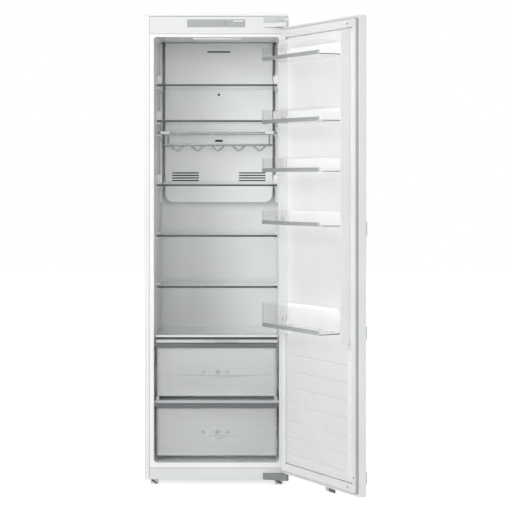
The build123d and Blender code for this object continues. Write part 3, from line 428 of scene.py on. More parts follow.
# Mid grey polypropylene over the bottom hinge and in the control panel's marks: dull, fine-grained
grey_polypropylene = moulded("grey_polypropylene", "#808284", "#898B8D", 0.5, 1.2, 0.04)

# The same plastic in a darker shade: painted shade for the dark spots on the gasket's face and for the inside
# of the feet's slots
dark_painted_shade_plastic = moulded("dark_painted_shade_plastic", "#4A4C4E", "#525456", 0.5, 1.2, 0.04)

# White nylon of the feet: dull, with a slight grain
white_nylon = moulded("white_nylon", "#E4E5E4", "#ECEDEC", 0.48, 1.4, 0.04)

# Plasticised PVC of the gasket, with almost no shine: a white face over the magnet, and the same PVC painted
# grey on the folds as painted shade for the bellows
soft_pvc = moulded("soft_pvc", "#E7E8E8", "#ECEDED", 0.62, 1.0, 0.03)
pvc_painted_fold_shade = moulded("pvc_painted_fold_shade", "#BCBEC0", "#C4C6C8", 0.7, 1.0, 0.03)

# Painted shade: a grey that stands in for the shade in the joints between the steel case, the fascias and the
# liner, and for the shadow under the case's top lip
painted_joint_shade = moulded("painted_joint_shade", "#A3A5A7", "#ABADAF", 0.6, 1.0, 0.03)

# Frosted polycarbonate lens of the lamp, lit from within
lens_frost = moulded(
    "lens_frost",
    "#FBFCFD",
    "#FFFFFF",
    0.3,
    1.2,
    0.02,
    Emission_Color=linear("#FFFFFF"),
    Emission_Strength=0.1,
)

# Black glass-filled nylon of the fan: dull and a little rough
black_nylon = moulded("black_nylon", "#232426", "#2A2B2D", 0.5, 1.2, 0.05)

# Black stove enamel on the compressor's pressed shell
black_enamel = moulded(
    "black_enamel", "#121314", "#1B1C1E", 0.28, 3.0, 0.05, Coat_Weight=0.5, Coat_Roughness=0.12
)

# Vulcanised rubber of the compressor's grommets: black and almost without shine
black_rubber = moulded("black_rubber", "#1C1C1D", "#242425", 0.75, 0.8, 0.05)

# Light grey polypropylene of the drip tray, the terminal box and the pictures on the drawers
tray_polypropylene = moulded("tray_polypropylene", "#9EA0A2", "#A7A9AB", 0.5, 1.2, 0.04)

# Natural acetal of the hinge bushes: milky white and waxy
natural_acetal = moulded("natural_acetal", "#DDDCD6", "#E4E3DE", 0.4, 1.0, 0.02)


def banded_abs(name, axis, start_mm, end_mm, before, within, beyond):
    """ABS in colour bands along an axis: one colour before the band, one within it and one beyond it.
    The ramp runs over three times the band's width, so that the band is its middle third."""
    material, tree, place = blank(name)
    span = end_mm - start_mm
    split = put(tree, "ShaderNodeSeparateXYZ", {"Vector": place})
    along = put(
        tree,
        "ShaderNodeMapRange",
        {"Value": split.outputs[axis], "From Min": (start_mm - span) * MM, "From Max": (end_mm + span) * MM},
    )
    colour = ramp(tree, along.outputs["Result"], (0.0, before), (1 / 3, within), (2 / 3, beyond))
    colour.node.color_ramp.interpolation = "CONSTANT"
    grain = relief(tree, noise(tree, place, 1.2, 2.0), 0.03, 0.3)
    finish(tree, principled(tree, Base_Color=colour, Roughness=0.38, Normal=grain))
    return material


# The shelves' front channel, which lies between these two depths, is dark grey. Their rear lip lies
# beyond them and is white
CHANNEL_FROM, CHANNEL_TO = 100, 200
shelf_trim_abs = banded_abs(
    "shelf_trim_abs", "Y", CHANNEL_FROM, CHANNEL_TO, "#47494B", "#47494B", "#ECEEEE"
)

# The furniture brackets are light grey, with a dark grey block on the one under the door
BLOCK_FROM, BLOCK_TO = 409, 445
bracket_abs = banded_abs("bracket_abs", "X", BLOCK_FROM, BLOCK_TO, "#D3D5D6", "#58595B", "#D3D5D6")

# The crisper's trim is white above the groove under the glass's edge and light grey below it. In the groove
# it is
# dark grey: painted shade for the deep, unlit groove. The groove's two edges are heights over the trim's
# lowest point
GROOVE_FROM, GROOVE_TO = 11.2, 20.8
trim_low = low("crisper_trim")[2]
crisper_trim_painted_groove_shade = banded_abs(
    "crisper_trim_painted_groove_shade", "Z", trim_low + GROOVE_FROM, trim_low + GROOVE_TO, "#CFD1D2", "#3A3C3E", "#E9EBEB"
)


def brushed_strip(name, shade, tone, line_mm):
    """Foil-stamped or brushed strip: fine lines drawn along its length, each fifty times as long as wide,
    seen as streaks in tone and gloss."""
    drawn_out = 0.02
    material, tree, place = blank(name)
    drawn = put(tree, "ShaderNodeMapping", {"Vector": place, "Scale": (drawn_out, drawn_out, 1.0)})
    lines = noise(tree, drawn.outputs["Vector"], line_mm, 2.0)
    gloss = put(tree, "ShaderNodeMapRange", {"Value": lines, "To Min": 0.25, "To Max": 0.42})
    body = principled(
        tree,
        Base_Color=ramp(tree, lines, (NOISE_LOW, shade), (NOISE_HIGH, tone)),
        Roughness=gloss.outputs["Result"],
        Metallic=0.45,
        Normal=relief(tree, lines, 0.02, 0.3),
    )
    finish(tree, body)
    return material


# Dark silver strip that caps the drawers, and the lighter one on the balconies
grip_foil = brushed_strip("grip_foil", "#5A5C5E", "#68696B", 1.5)
band_foil = brushed_strip("band_foil", "#A3A5A7", "#B4B6B8", 1.5)


def galvanised(name, crystal_mm=14):
    """Hot-dip galvanised sheet: zinc crystals, each with its own tone and gloss."""
    material, tree, place = blank(name)
    cells = put(tree, "ShaderNodeTexVoronoi", {"Vector": place, "Scale": per_metre(crystal_mm)})
    tone = put(tree, "ShaderNodeSeparateColor", {"Color": cells.outputs["Color"]})
    gloss = put(tree, "ShaderNodeMapRange", {"Value": tone.outputs["Green"], "To Min": 0.4, "To Max": 0.5})
    body = principled(
        tree,
        Base_Color=ramp(tree, tone.outputs["Red"], (0.1, "#A0A3A5"), (0.9, "#AFB2B4")),
        Roughness=gloss.outputs["Result"],
        Metallic=0.9,
        Normal=relief(tree, noise(tree, place, 2, 3.0), 0.03, 0.4),
    )
    finish(tree, body)
    return material


zinc_sheet = galvanised("zinc_sheet")


def bare_metal(name, shade, tone, low_rough, high_rough, cloud_mm):
    """Bare or plated metal: clean reflections that a thin film of handling dulls in patches."""
    material, tree, place = blank(name)
    cloud, gloss = clouds(tree, place, cloud_mm, low_rough, high_rough, 4.0)
    colour = ramp(tree, cloud, (NOISE_LOW, shade), (NOISE_HIGH, tone))
    finish(tree, principled(tree, Base_Color=colour, Roughness=gloss, Metallic=1.0))
    return material


# Chromium plate on the rack's wire, aluminium of the evaporator, drawn copper, zinc-plated screws
chrome_plate = bare_metal("chrome_plate", "#8E9093", "#9A9C9F", 0.2, 0.3, 30)
mill_aluminium = bare_metal("mill_aluminium", "#C4C7CA", "#D2D5D7", 0.3, 0.45, 20)
drawn_copper = bare_metal("drawn_copper", "#B5714C", "#C98562", 0.2, 0.38, 12)
plated_screw = bare_metal("plated_screw", "#B9BBBD", "#CBCDCF", 0.22, 0.36, 4)


def foamed(name, cell_mm=1.5):
    """Rigid polyurethane foam: dull straw yellow with open cells."""
    material, tree, place = blank(name)
    cells = put(tree, "ShaderNodeTexVoronoi", {"Vector": place, "Scale": per_metre(cell_mm)})
    cloud, gloss = clouds(tree, place, 60, 0.8, 0.95)
    body = principled(
        tree,
        Base_Color=ramp(tree, cloud, (NOISE_LOW, "#DCCB9C"), (NOISE_HIGH, "#E6D8AF")),
        Roughness=gloss,
        Normal=relief(tree, cells.outputs["Distance"], 0.3, 0.6),
    )
    finish(tree, body)
    return material


rigid_foam = foamed("rigid_foam")

# Toughened float glass of the shelves: very slightly green, quite flat
toughened_glass = see_through("toughened_glass", "#FAFCFB", 0.0, 1.52, 60, 0.01, "#F2F5F4")

# Clear polystyrene of the balconies: slightly wavy from the mould
clear_polystyrene = see_through("clear_polystyrene", "#F7F7F7", 0.03, 1.13, 25, 0.05, "#F5F5F5")

# Milky polystyrene of the drawers: its fine texture blurs what lies behind
milky_polystyrene = see_through("milky_polystyrene", "#F8F9F9", 0.1, 1.3, 1.5, 0.03, "#CED0D0", 0.74)

dress(lacquered_steel, "outer_case")
dress(hinge_lacquer, "top_hinge")
dress(door_lacquer_painted_light, "door_panel")
dress(zinc_sheet, "rear_panel", "base_plate")
dress(bracket_abs, "furniture_brackets")
dress(formed_polystyrene, "inner_liner")
dress(duct_polystyrene, "duct_cover")
dress(door_polystyrene, "door_liner")
dress(white_abs, "control_fascia", "bottom_fascia", "rack_clips")
dress(rail_abs, "drawer_divider")
dress(crisper_trim_painted_groove_shade, "crisper_trim")
dress(printed_overlay, "control_panel", "set_button")
dress(grey_polypropylene, "bottom_hinge")
dress(white_nylon, "left_foot", "right_foot", "rear_feet")
dress(lens_frost, "lamp_lens")
dress(mill_aluminium, "evaporator")
dress(black_nylon, "fan_frame", "fan_rotor")
dress(toughened_glass, "crisper_cover", *[f"shelf_{k}" for k in range(1, 6)])
dress(shelf_trim_abs, *[f"shelf_{k}_trim" for k in range(1, 6)])
dress(slider_abs, "humidity_slider")
dress(grip_foil, "upper_drawer_grip", "lower_drawer_grip")
dress(milky_polystyrene, "upper_drawer", "lower_drawer")
dress(black_rubber, "compressor_grommets")
dress(tray_polypropylene, "drip_tray", "terminal_box")
dress(drawn_copper, "condenser_tube")
dress(rigid_foam, "insulation_foam", "door_foam")
dress(natural_acetal, "door_bushes")
dress(clear_polystyrene, *[f"balcony_{k}" for k in range(1, 6)])
dress(band_foil, *[f"balcony_{k}_band" for k in range(1, 6)])


# Pieces


def gasket():
    """The magnetic gasket: two closed profiles carried round the door. The folds run from the foot in the
    liner through two waists; the face over them holds the magnet strip and ends in a thin inner lip.
    Each profile point is a distance in from the gasket's outline and a depth."""
    seat, gap = 1.5, 0.3
    side_inset, low_inset, high_inset, corner = 6.0, 14.0, 12.0, 7.0
    half, bottom, top = DOOR_HALF - side_inset, DOOR_LOW + low_inset, DOOR_HIGH - high_inset
    foot_y, face_y = RIM_Y + seat, -gap
    folds = [
        (-4.4, foot_y),
        (-4.2, foot_y + 0.8),
        (2.4, foot_y + 1.6),
        (0.6, foot_y + 3.6),
        (2.6, foot_y + 5.2),
        (0.8, foot_y + 6.8),
        (2.8, foot_y + 8.4),
        (0.7, face_y - 2.2),
        (0.9, face_y - 1.9),
        (14.2, face_y - 1.9),
        (12.6, foot_y + 6.8),
        (14.4, foot_y + 5.2),
        (13.0, foot_y + 3.0),
        (13.6, foot_y),
    ]
    face = [
        (0.6, face_y - 2.0),
        (0.5, face_y - 0.9),
        (1.2, face_y - 0.2),
        (2.6, face_y),
        (14.0, face_y),
        (15.4, face_y - 0.6),
        (18.6, face_y - 2.6),
        (22.4, face_y - 1.8),
        (24.2, face_y - 3.4),
        (28.4, face_y - 5.4),
        (28.6, face_y - 6.4),
        (23.6, face_y - 5.2),
        (18.6, face_y - 4.4),
        (14.6, face_y - 2.0),
    ]
    # The folds' grey is painted shade; the face keeps the gasket's own white
    for name, profile, material in (("gasket_folds", folds, pvc_painted_fold_shade), ("gasket_face", face, soft_pvc)):
        shell = swung(framed(profile, half, bottom, top, corner))
        made = piece(name, [shell], "door", material)
        if profile is folds:
            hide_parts("door_gasket")


gasket()


def balcony_strips():
    """The silver strip on each balcony's front: an upright lens-shaped section carried along the front
    and a little way round each corner."""
    half, front, corner, sheet = 210.0, 112.5, 16.0, 1.5
    corner_degrees, corner_points = 40, 7
    quarter = np.radians(np.linspace(0, corner_degrees, corner_points))
    turn = np.concatenate([-quarter[::-1], quarter])
    side = np.repeat([-1, 1], corner_points)
    out = np.column_stack([np.sin(turn), np.cos(turn)])
    centres = np.column_stack([side * (half - corner), np.full(len(turn), front - corner)])
    path = centres + corner * out
    rise_share = np.array([0.0, 0.5, 1.5, 4.0, 10.0, 12.5, 13.5, 14.0, 14.0, 0.0]) / 14
    thick_share = np.array([0.3, 0.9, 1.3, 1.5, 1.5, 1.3, 0.9, 0.3, 0.0, 0.0]) / 1.5
    section = path[:, None] + out[:, None] * (thick_share * sheet)[None, :, None]
    for k in range(1, 6):
        band = f"balcony_{k}_band"
        bottom, top = low(band)[2], high(band)[2]
        upright = np.broadcast_to(bottom + rise_share * (top - bottom), section.shape[:2])
        shell = skin(np.concatenate([section, upright[..., None]], axis=-1))
        made = piece(f"balcony_{k}_strip", [swung(shell)], f"balcony_{k}_body", band_foil)
        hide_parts(f"balcony_{k}_band")


balcony_strips()


def bottle_rack():
    """The wire rack: two bent frames, two waved wires that dip under each of five bottles, and four rungs."""
    wire, thin, bend, deep = 2.6, 2.2, 9.0, 45.0
    taper, inset = 16.0, 9.0
    dip, pitch, trough, count = 24.0, 81.0, 27.0, 5
    near, far = low("bottle_rack"), high("bottle_rack")
    half, front, back, top = far[0] - wire, near[1] + wire, far[1] - wire, far[2] - wire
    low_half, low_front, low_back, bottom = half - taper, front + taper, back - taper, top - deep
    shells = []
    for x, start, end, z in ((half, front, back, top), (low_half, low_front, low_back, bottom)):
        corners = [(x, start, z), (x, end, z), (-x, end, z), (-x, start, z)]
        shells.append(tube(bent(corners, bend, closed=True), wire, UP, closed=True))
    middles = (np.arange(count) - (count - 1) / 2) * pitch
    dips = np.stack([middles - trough, middles, middles + trough], axis=-1).ravel()
    heights = bottom - np.tile([0.0, dip, 0.0], count)
    for y in (low_front + taper, low_back - taper):
        line = [(-low_half, y, bottom), *zip(dips, [y] * len(dips), heights), (low_half, y, bottom)]
        shells.append(tube(bent(line, bend), thin, TO_BACK))
    for x in (inset - low_half, low_half - inset):
        for y_top, y_low in ((front, low_front), (back, low_back)):
            rung = np.array([(x, y_top, top), (x, y_low, bottom)])
            shells.append(tube(rung, thin, (1, 0, 0)))
    made = piece("rack_wires", shells, "bottle_rack_body", chrome_plate)
    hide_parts("bottle_rack")


bottle_rack()


def hinge_recess_shade():
    """A grey plate over the top hinge's plate: painted shade for the recess round the hinge. A white catch
    sits near its right end.
    """
    left, right, bottom, top = 176.5, 269.5, 1733.0, 1758.2
    corner, thick, ease = 1.2, 0.6, 0.3
    x, z = (left + right) / 2, (bottom + top) / 2
    sheet = eased_block((right - left) / 2, (top - bottom) / 2, corner, thick, ease)
    piece("hinge_recess_shade", [stood(sheet, (x, 0.0, z), TO_FRONT)], "cabinet", hinge_recess_shade_abs)
    catch_half, catch_rise, catch_corner, catch_thick, catch_ease = 6.5, 5.5, 1.5, 1.4, 0.5
    catch_inset, catch_out, catch_drop = 7.0, 0.5, 1.0
    place = (right - catch_inset, -catch_out, z - catch_drop)
    catch = stood(eased_block(catch_half, catch_rise, catch_corner, catch_thick, catch_ease), place, TO_FRONT)
    piece("hinge_catch", [catch], "cabinet", white_abs)


hinge_recess_shade()


def seams():
    """Painted shade round the front: thin grey bars that stand in for the shade in the joints, one along each
    side, one under the top fascia and one over the plinth, and one for the shadow under the cabinet's top
    lip."""
    side_x, bottom, top = 251.0, 25.0, 1757.0
    corner, thick, side_half, end_gap = 0.3, 0.1, 0.8, 1.0
    bars = [(x, (top + bottom) / 2, side_half, (top - bottom) / 2) for x in (-side_x, side_x)]
    bars += [(0, z, side_x - end_gap, half) for z, half in ((1691.0, 0.9), (65.0, 0.9), (1757.4, 1.5))]
    shells = [
        stood(stacked(half_x, half_z, corner, [0, thick], [0, thick]), (x, 0.0, z), TO_FRONT)
        for x, z, half_x, half_z in bars
    ]
    piece("painted_joint_shade_bars", shells, "cabinet", painted_joint_shade)


seams()


def shelf_keepers():
    """The rounded bosses on the side walls, just above each shelf that lies beside the duct, that keep it
    from tipping forward."""
    wall, sunk, reach, corner, ease = 235.0, 0.5, 21.0, 9.0, 7.0
    deep, tall, gap, y = 46.0, 36.0, 4.0, 204.0
    shells = []
    for k in range(1, 6):
        z = high(f"shelf_{k}")[2] + gap + tall / 2
        if z < low("duct_cover")[2]:
            continue
        for sign in (-1, 1):
            boss = eased_block(deep / 2, tall / 2, corner, reach, ease)
            shells.append(stood(boss, (sign * (wall + sunk), y, z), (-sign, 0, 0)))
    piece("shelf_keepers", shells, "cabinet", formed_polystyrene)


shelf_keepers()


def duct_fillers():
    """The upright steps of the liner beside the duct: rounded bars in the corners, behind the shelves."""
    wall, deep, wide, corner, set_back, drop = 235.3, 50.0, 10.0, 3.0, 1.0, 4.0
    bottom, top = low("duct_cover")[2], high("duct_cover")[2]
    y, z = low("duct_cover")[1] + set_back + deep / 2, (top + bottom) / 2 - drop
    shells = []
    for sign in (-1, 1):
        bar = eased_block(deep / 2, (top - bottom) / 2, corner, wide, corner)
        shells.append(stood(bar, (sign * wall, y, z), (-sign, 0, 0)))
    piece("duct_fillers", shells, "cabinet", formed_polystyrene)


duct_fillers()


def duct_shade_pads():
    """Painted shade behind the duct's openings: a dark rounded pad behind each, for the unlit inside of the
    duct.
    A pad's row has its middle's x and z, and half its width and height."""
    gap, thick, corner, ease = 2.6, 2.0, 3.0, 0.5
    y = low("duct_cover")[1] + gap + thick
    pads = (
        (0.0, 1655.0, 54.0, 9.0),
        (0.0, 1484.0, 11.0, 11.0),
        (0.0, 1300.0, 22.0, 10.0),
        (-133.0, 1157.0, 59.0, 23.0),
        (133.0, 1157.0, 59.0, 23.0),
    )
    shells = []
    for x, z, half_x, half_z in pads:
        pad = stacked(half_x, half_z, corner, [ease, 0, 0], [0, ease, thick])
        shells.append(stood(pad, (x, y, z), TO_FRONT))
    piece("duct_shade_pads", shells, "cabinet", painted_duct_shade)


duct_shade_pads()


def screw_head(radius):
    """A pan head with a cross recess: a dome over a polar grid, cut down where the cross lies. All its
    sizes are shares of its radius."""
    rings, sides = 14, 48
    dome_rise, dome_fall, dome_drop = 0.5, 0.8, 0.05
    arm_half, arm_reach, recess = 0.11, 0.56, 0.28
    side_run, end_run = 0.03, 0.06
    r = np.linspace(0, 1, rings)[:, None] * np.ones(sides)
    turn = np.linspace(0, 2 * np.pi, sides, endpoint=False)[None, :]
    x, y = r * np.cos(turn), r * np.sin(turn)
    dome = dome_rise * np.sqrt(np.clip(1 - dome_fall * r**2, 0, 1)) - dome_drop
    across, along = np.minimum(abs(x), abs(y)), np.maximum(abs(x), abs(y))
    cross = np.clip((arm_half - across) / side_run, 0, 1) * np.clip((arm_reach - along) / end_run, 0, 1)
    top = np.stack([x, y, dome - recess * cross], axis=-1)
    rim = np.stack([x[-1], y[-1], np.zeros(sides)], axis=-1)[None]
    return skin(np.vstack([top, rim]) * radius)


def screws(name, places, normal, body, shut_door=False):
    """Screws of one size, each turned a little further than the last."""
    radius, first_turn, next_turn = 3.6, 0.5, 0.9
    shells = [
        stood(screw_head(radius), place, normal, first_turn + next_turn * k) for k, place in enumerate(places)
    ]
    if shut_door:
        shells = [swung(shell) for shell in shells]
    piece(name, shells, body, plated_screw)


def niche_screws():
    """The screws of the rear sheet where it lines the compressor's niche: two up each side and two along
    the roof."""
    sheet, side, lower, upper, roof, along_roof = 0.8, 246.0, 64.0, 236.0, 250.0, (-150.0, -60.0)
    y = low("rear_panel")[1] + sheet
    places = [(x, y, z) for x in (-side, side) for z in (lower, upper)]
    places += [(x, y, roof) for x in along_roof]
    screws("niche_screws", places, TO_BACK, "cabinet")


niche_screws()


def bracket_screws():
    """The two screws under the door that hold its bracket."""
    middle, half_apart, y, sunk = -27.0, 22.0, -30.0, 2.0
    places = [(middle + aside, y, DOOR_LOW - sunk) for aside in (-half_apart, half_apart)]
    screws("bracket_screws", places, DOWN, "door", shut_door=True)


bracket_screws()


def panel_marks():
    """Plain marks on the control panel: a row of seven small lamps over short ticks that grow to the right,
    the button's ring, and a white window over a short rule."""
    near, far = low("control_panel"), high("control_panel")
    y, middle = near[1], (near[2] + far[2]) / 2
    count, first, last = 7, 30, 114
    tick_drop, tick_half, tick_tall, tick_more, tick_corner, tick_thick = 7, 0.5, 2.0, 0.25, 0.4, 0.12
    bead_sides, ring_sides = 20, 48
    bead = lathe([1.1, 1.1, 0.7], [0.0, 0.15, 0.3], bead_sides)
    shells = []
    for k, x in enumerate(np.linspace(near[0] + first, near[0] + last, count)):
        shells.append(stood(bead, (x, y, middle), TO_FRONT))
        tick = stacked(tick_half, tick_tall + tick_more * k, tick_corner, [0, 0], [0, tick_thick])
        shells.append(stood(tick, (x, y, middle - tick_drop), TO_FRONT))
    button_x = (low("set_button")[0] + high("set_button")[0]) / 2
    outer, inner, proud = 5.6, 4.5, 0.2
    ring = lathe([outer, outer, inner, inner, outer], [0, proud, proud, 0, 0], ring_sides)
    shells.append(stood(ring, (button_x, y, middle), TO_FRONT))
    window_inset, window_drop, window_half, window_tall = 26, 6.5, 19, 2.6
    window_corner, window_ease, window_thick = 1.0, 0.2, 0.25
    rule_drop, rule_half, rule_tall, rule_corner, rule_thick = 10.5, 14, 0.6, 0.3, 0.2
    x = far[0] - window_inset
    rule = stacked(rule_half, rule_tall, rule_corner, [0, 0], [0, rule_thick])
    shells.append(stood(rule, (x, y, far[2] - rule_drop), TO_FRONT))
    piece("panel_marks", shells, "cabinet", grey_polypropylene)
    window = stacked(window_half, window_tall, window_corner, [0, window_ease], [0, window_thick])
    window = stood(window, (x, y, far[2] - window_drop), TO_FRONT)
    piece("panel_window", [window], "cabinet", white_abs)


panel_marks()

# A drawer sign's outline has this many points up each side
SIGN_POINTS = 24


def mirrored(side, along):
    """A closed outline from one side of it, whose two ends lie on the midline."""
    right = np.column_stack([side, along])
    return np.vstack([right, right[-2:0:-1] * [-1, 1]])


def leaf(length, width):
    """A leaf's outline: half a sine wave up each side of its midline."""
    t = np.linspace(0, 1, SIGN_POINTS)
    return mirrored(width / 2 * np.sin(np.pi * t), t * length)


def apple(radius):
    """An apple's outline: a circle, a little wider than high, that dips at its top and draws in at its
    foot. Both hollows are bell curves over the angle."""
    dip, dip_wide, foot, foot_wide, stretch = 0.16, 0.35, 0.06, 0.3, 1.05
    t = np.linspace(0, 2 * np.pi, 2 * SIGN_POINTS, endpoint=False)
    top = dip * np.exp(-(((t - np.pi / 2) / dip_wide) ** 2))
    base = foot * np.exp(-(((t - 1.5 * np.pi) / foot_wide) ** 2))
    r = radius * (1 - top - base)
    return np.column_stack([r * np.cos(t) * stretch, r * np.sin(t)])


def carrot(length, width):
    """A carrot's outline: half its width is the product of two square roots over its length, one that
    rises round its shoulder and one that falls to its tip."""
    shoulder, tip = 4, 3
    t = np.linspace(0, 1, SIGN_POINTS)
    rise = np.sqrt(np.clip(1 - (1 - t) ** shoulder, 0, 1))
    return mirrored(width / 2 * rise * (1 - t**tip) ** 0.5, -t * length)


def drawer_signs():
    """Three plain pictures moulded on each drawer's front, a leaf, an apple and a carrot, over a long
    moulded line and a short one. A picture's row has its outline, its place and its turn, and a drawer's
    row has its pictures' height over the floor and half its long line."""
    relief_high, line_x, line_half, line_high, short_half = 0.3, 16.0, 0.7, 0.5, 38.0
    line_corner, line_ease, long_drop, short_drop = 0.5, 0.3, 14.5, 23.0
    pictures = [(leaf(17, 10), -44.0, -8.0, 0.7), (apple(8), 3.0, 0.0, 0.0), (carrot(19, 8), 46.0, 8.0, -0.6)]
    for name, z, long_half in (("upper_drawer", 422.0, 150.0), ("lower_drawer", 196.5, 64.0)):
        y = low(name)[1]
        shells = [
            stood(plate(outline, relief_high), (x, y, z + rise), TO_FRONT, turn)
            for outline, x, rise, turn in pictures
        ]
        for half, drop in ((long_half, long_drop), (short_half, short_drop)):
            line = stacked(half, line_half, line_corner, [0, line_ease], [0, line_high])
            shells.append(stood(line, (line_x, y, z - drop), TO_FRONT))
        piece(f"{name}_signs", shells, f"{name}_body", tray_polypropylene)


drawer_signs()


def divider_ends():
    """The end caps of the rail between the drawers: a rounded block at each end, in line with its front."""
    wide, tall, deep, corner, ease = 12.0, 15.0, 20.0, 2.0, 1.5
    inset, set_back, lap = 7.0, 2.0, 0.5
    near, far = low("drawer_divider"), high("drawer_divider")
    y, z = near[1] + deep + set_back, far[2] + tall / 2 - lap
    shells = []
    for x in (near[0] + wide / 2 + inset, far[0] - wide / 2 - inset):
        shells.append(stood(eased_block(wide / 2, tall / 2, corner, deep, ease), (x, y, z), TO_FRONT))
    piece("divider_ends", shells, "cabinet", rail_abs)


divider_ends()


def compressor():
    """The compressor: a drawn shell with a rolled weld round its waist, on a pressed base plate with four
    bolts; a cover over its terminals; a process stub and two copper pipes up through the niche's roof."""
    x, y, radius, tall, sides = 70.0, 408.0, 72.0, 150.0, 72
    end_radius, dome, dome_flat, dome_points = 28.0, 34.0, 0.75, 10
    weld_reach, weld_half, weld_slope = 3.0, 2.4, 0.6
    plate_half_x, plate_half_y, plate_corner, plate_thick, plate_ease = 88, 64, 14, 3.0, 0.6
    bolt_x, bolt_y, bolt_sides = 78, 50, 24
    cover_half_y, cover_half_z, cover_corner, cover_deep, cover_ease = 26, 19, 5, 26, 4

    plate_low = low("compressor")[2]
    can_low, waist = plate_low + plate_thick, tall / 2
    weld_z, weld_foot, weld_radius = can_low + waist, weld_half + weld_slope, radius + weld_reach
    t = np.linspace(0, np.pi / 2, dome_points)
    up = dome * (1 - np.cos(t)) * dome_flat
    side = radius - dome * (1 - np.sin(t))
    radii = [end_radius, *side, radius, weld_radius, weld_radius, radius, *side[::-1], end_radius]
    weld_heights = [waist - weld_foot, waist - weld_half, waist + weld_half, waist + weld_foot]
    heights = [0.0, *up, *weld_heights, *(tall - up[::-1]), tall]
    can = stood(lathe(radii, heights, sides), (x, y, can_low), UP)
    plate_heights = [0, plate_ease, plate_thick - plate_ease, plate_thick]
    base = stacked(plate_half_x, plate_half_y, plate_corner, [plate_ease, 0, 0, plate_ease], plate_heights)
    base = stood(base, (x, y, plate_low), UP, np.pi)
    bolt = lathe([8.5, 8.5, 7.5, 4, 4, 3], [0, 1.5, 2.2, 2.2, 6, 6.8], bolt_sides)
    bolt_places = [(x + dx, y + dy, can_low) for dx in (-bolt_x, bolt_x) for dy in (-bolt_y, bolt_y)]
    bolts = [stood(bolt, place, UP) for place in bolt_places]
    cover = eased_block(cover_half_y, cover_half_z, cover_corner, cover_deep, cover_ease)
    cover = stood(cover, (x - radius + cover_ease, y, weld_z), (-1, 0, 0), np.pi / 2)
    shell = piece("compressor_can", [can, base, cover, *bolts], "cabinet", black_enamel)
    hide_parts("compressor")

    pipe_sides, bend, reach, roof = 18, 14, 24, high("compressor")[2]
    pipe_start, pipe_z = 40, weld_z + 24
    stub_start, stub_end, stub_z, stub_thick = 30, 16, weld_z + 40, 3.0
    turn_x = x + radius + reach
    pipes = []
    for aside, thick in ((25.0, 4.0), (-25.0, 3.0)):
        pipe_y = y + aside
        line = [(x + pipe_start, pipe_y, pipe_z), (turn_x, pipe_y, pipe_z), (turn_x, pipe_y, roof)]
        pipes.append(tube(bent(line, bend), thick, TO_BACK, pipe_sides))
    stub = np.array([(x + stub_start, y, stub_z), (x + radius + stub_end, y, stub_z)])
    pipes.append(tube(stub, stub_thick, TO_BACK, pipe_sides))
    piece("compressor_pipes", pipes, "cabinet", drawn_copper)


compressor()


def gasket_shade_dots():
    """Three small dark domes on the gasket's face near the door's free edge: painted shade for the dark spots
    where the shade of the gasket's groove ends.
    """
    y, radii, heights, sides = -0.32, [3.4, 3.4, 2.6, 0.6], [0, 0.06, 0.12, 0.16], 24
    dome = lathe(radii, heights, sides)
    places = ((-210.0, 75.5), (-210.0, 1687.0), (-252.0, 115.0))
    shells = [swung(stood(dome, (x, y, z), TO_BACK)) for x, z in places]
    piece("gasket_shade_dots", shells, "door", dark_painted_shade_plastic)


gasket_shade_dots()


def door_ribs():
    """The ribbed field across the door's lower half: a flat swell with eased edges, and in it seven long
    grooves whose upper side lies in shade. The field's height falls to nothing over its last few
    millimetres as a quarter sine, and each groove's depth falls off in the same way at both its ends."""
    count, low_z, pitch, face, sheet = 7, 127.6, 61.65, -5.0, 0.6
    field_half, field_low, field_high, field_rise, edge = 226.0, 99.0, 552.0, 5.4, 14.0
    groove_half, floor_rise, groove_end, groove_points = 206.0, 1.8, 12, 72
    least_rise, smooth_below, edge_points = 0.02, 28.0, 6
    ease = np.linspace(0, 1, edge_points)
    swell = np.sin(ease * np.pi / 2)
    groove_z = np.array([8.0, 5.6, 4.8, 0.9, -0.3, -4.2, -5.0, -7.4])
    groove_cut = np.array([0.0, 0.0, 0.15, 1.0, 1.0, 0.15, 0.0, 0.0])

    grooves = (low_z + pitch * np.arange(count))[::-1, None] + groove_z
    z = np.concatenate([field_high - ease * edge, grooves.ravel(), field_low + edge * ease[::-1]])
    height = np.concatenate([swell, np.ones(grooves.size), swell[::-1]])
    cut = np.concatenate([0 * ease, np.tile(groove_cut, count), 0 * ease])

    middle = np.linspace(groove_half, -groove_half, groove_points)
    x = np.concatenate([field_half - ease * edge, middle, ease[::-1] * edge - field_half])
    side = np.concatenate([swell, np.ones(groove_points), swell[::-1]])
    deep = np.sin(np.clip((groove_half - abs(x)) / groove_end, 0, 1) * np.pi / 2)

    rise = field_rise * side[:, None] * height - (field_rise - floor_rise) * deep[:, None] * cut
    front = np.stack(np.broadcast_arrays(x[:, None], face + np.maximum(rise, least_rise), z), axis=-1)
    back = np.stack(np.broadcast_arrays(x[:, None], face - sheet, z[[-1, 0]]), axis=-1)
    shell = skin(np.concatenate([front, back], axis=1))
    piece("door_ribs", [swung(shell)], "door", door_polystyrene, smooth_below)


door_ribs()


def foot_slots():
    """The slanted key slot across each levelling foot, drawn as a dark bar: painted shade for the inside of
    the slot.
    """
    half, rise, corner, ease, thick = 11.5, 3.2, 2.6, 0.3, 0.8
    sunk, z, slant = 0.2, 11.0, -0.55
    for name in ("left_foot", "right_foot"):
        near, far = low(name), high(name)
        place = ((near[0] + far[0]) / 2, near[1] + sunk, z)
        bar = stood(stacked(half, rise, corner, [0, ease], [0, thick]), place, TO_FRONT, slant)
        piece(f"{name}_slot", [bar], f"{name}_body", dark_painted_shade_plastic)


foot_slots()


# Floor, light and camera

WORLD_LEVEL = 0.36

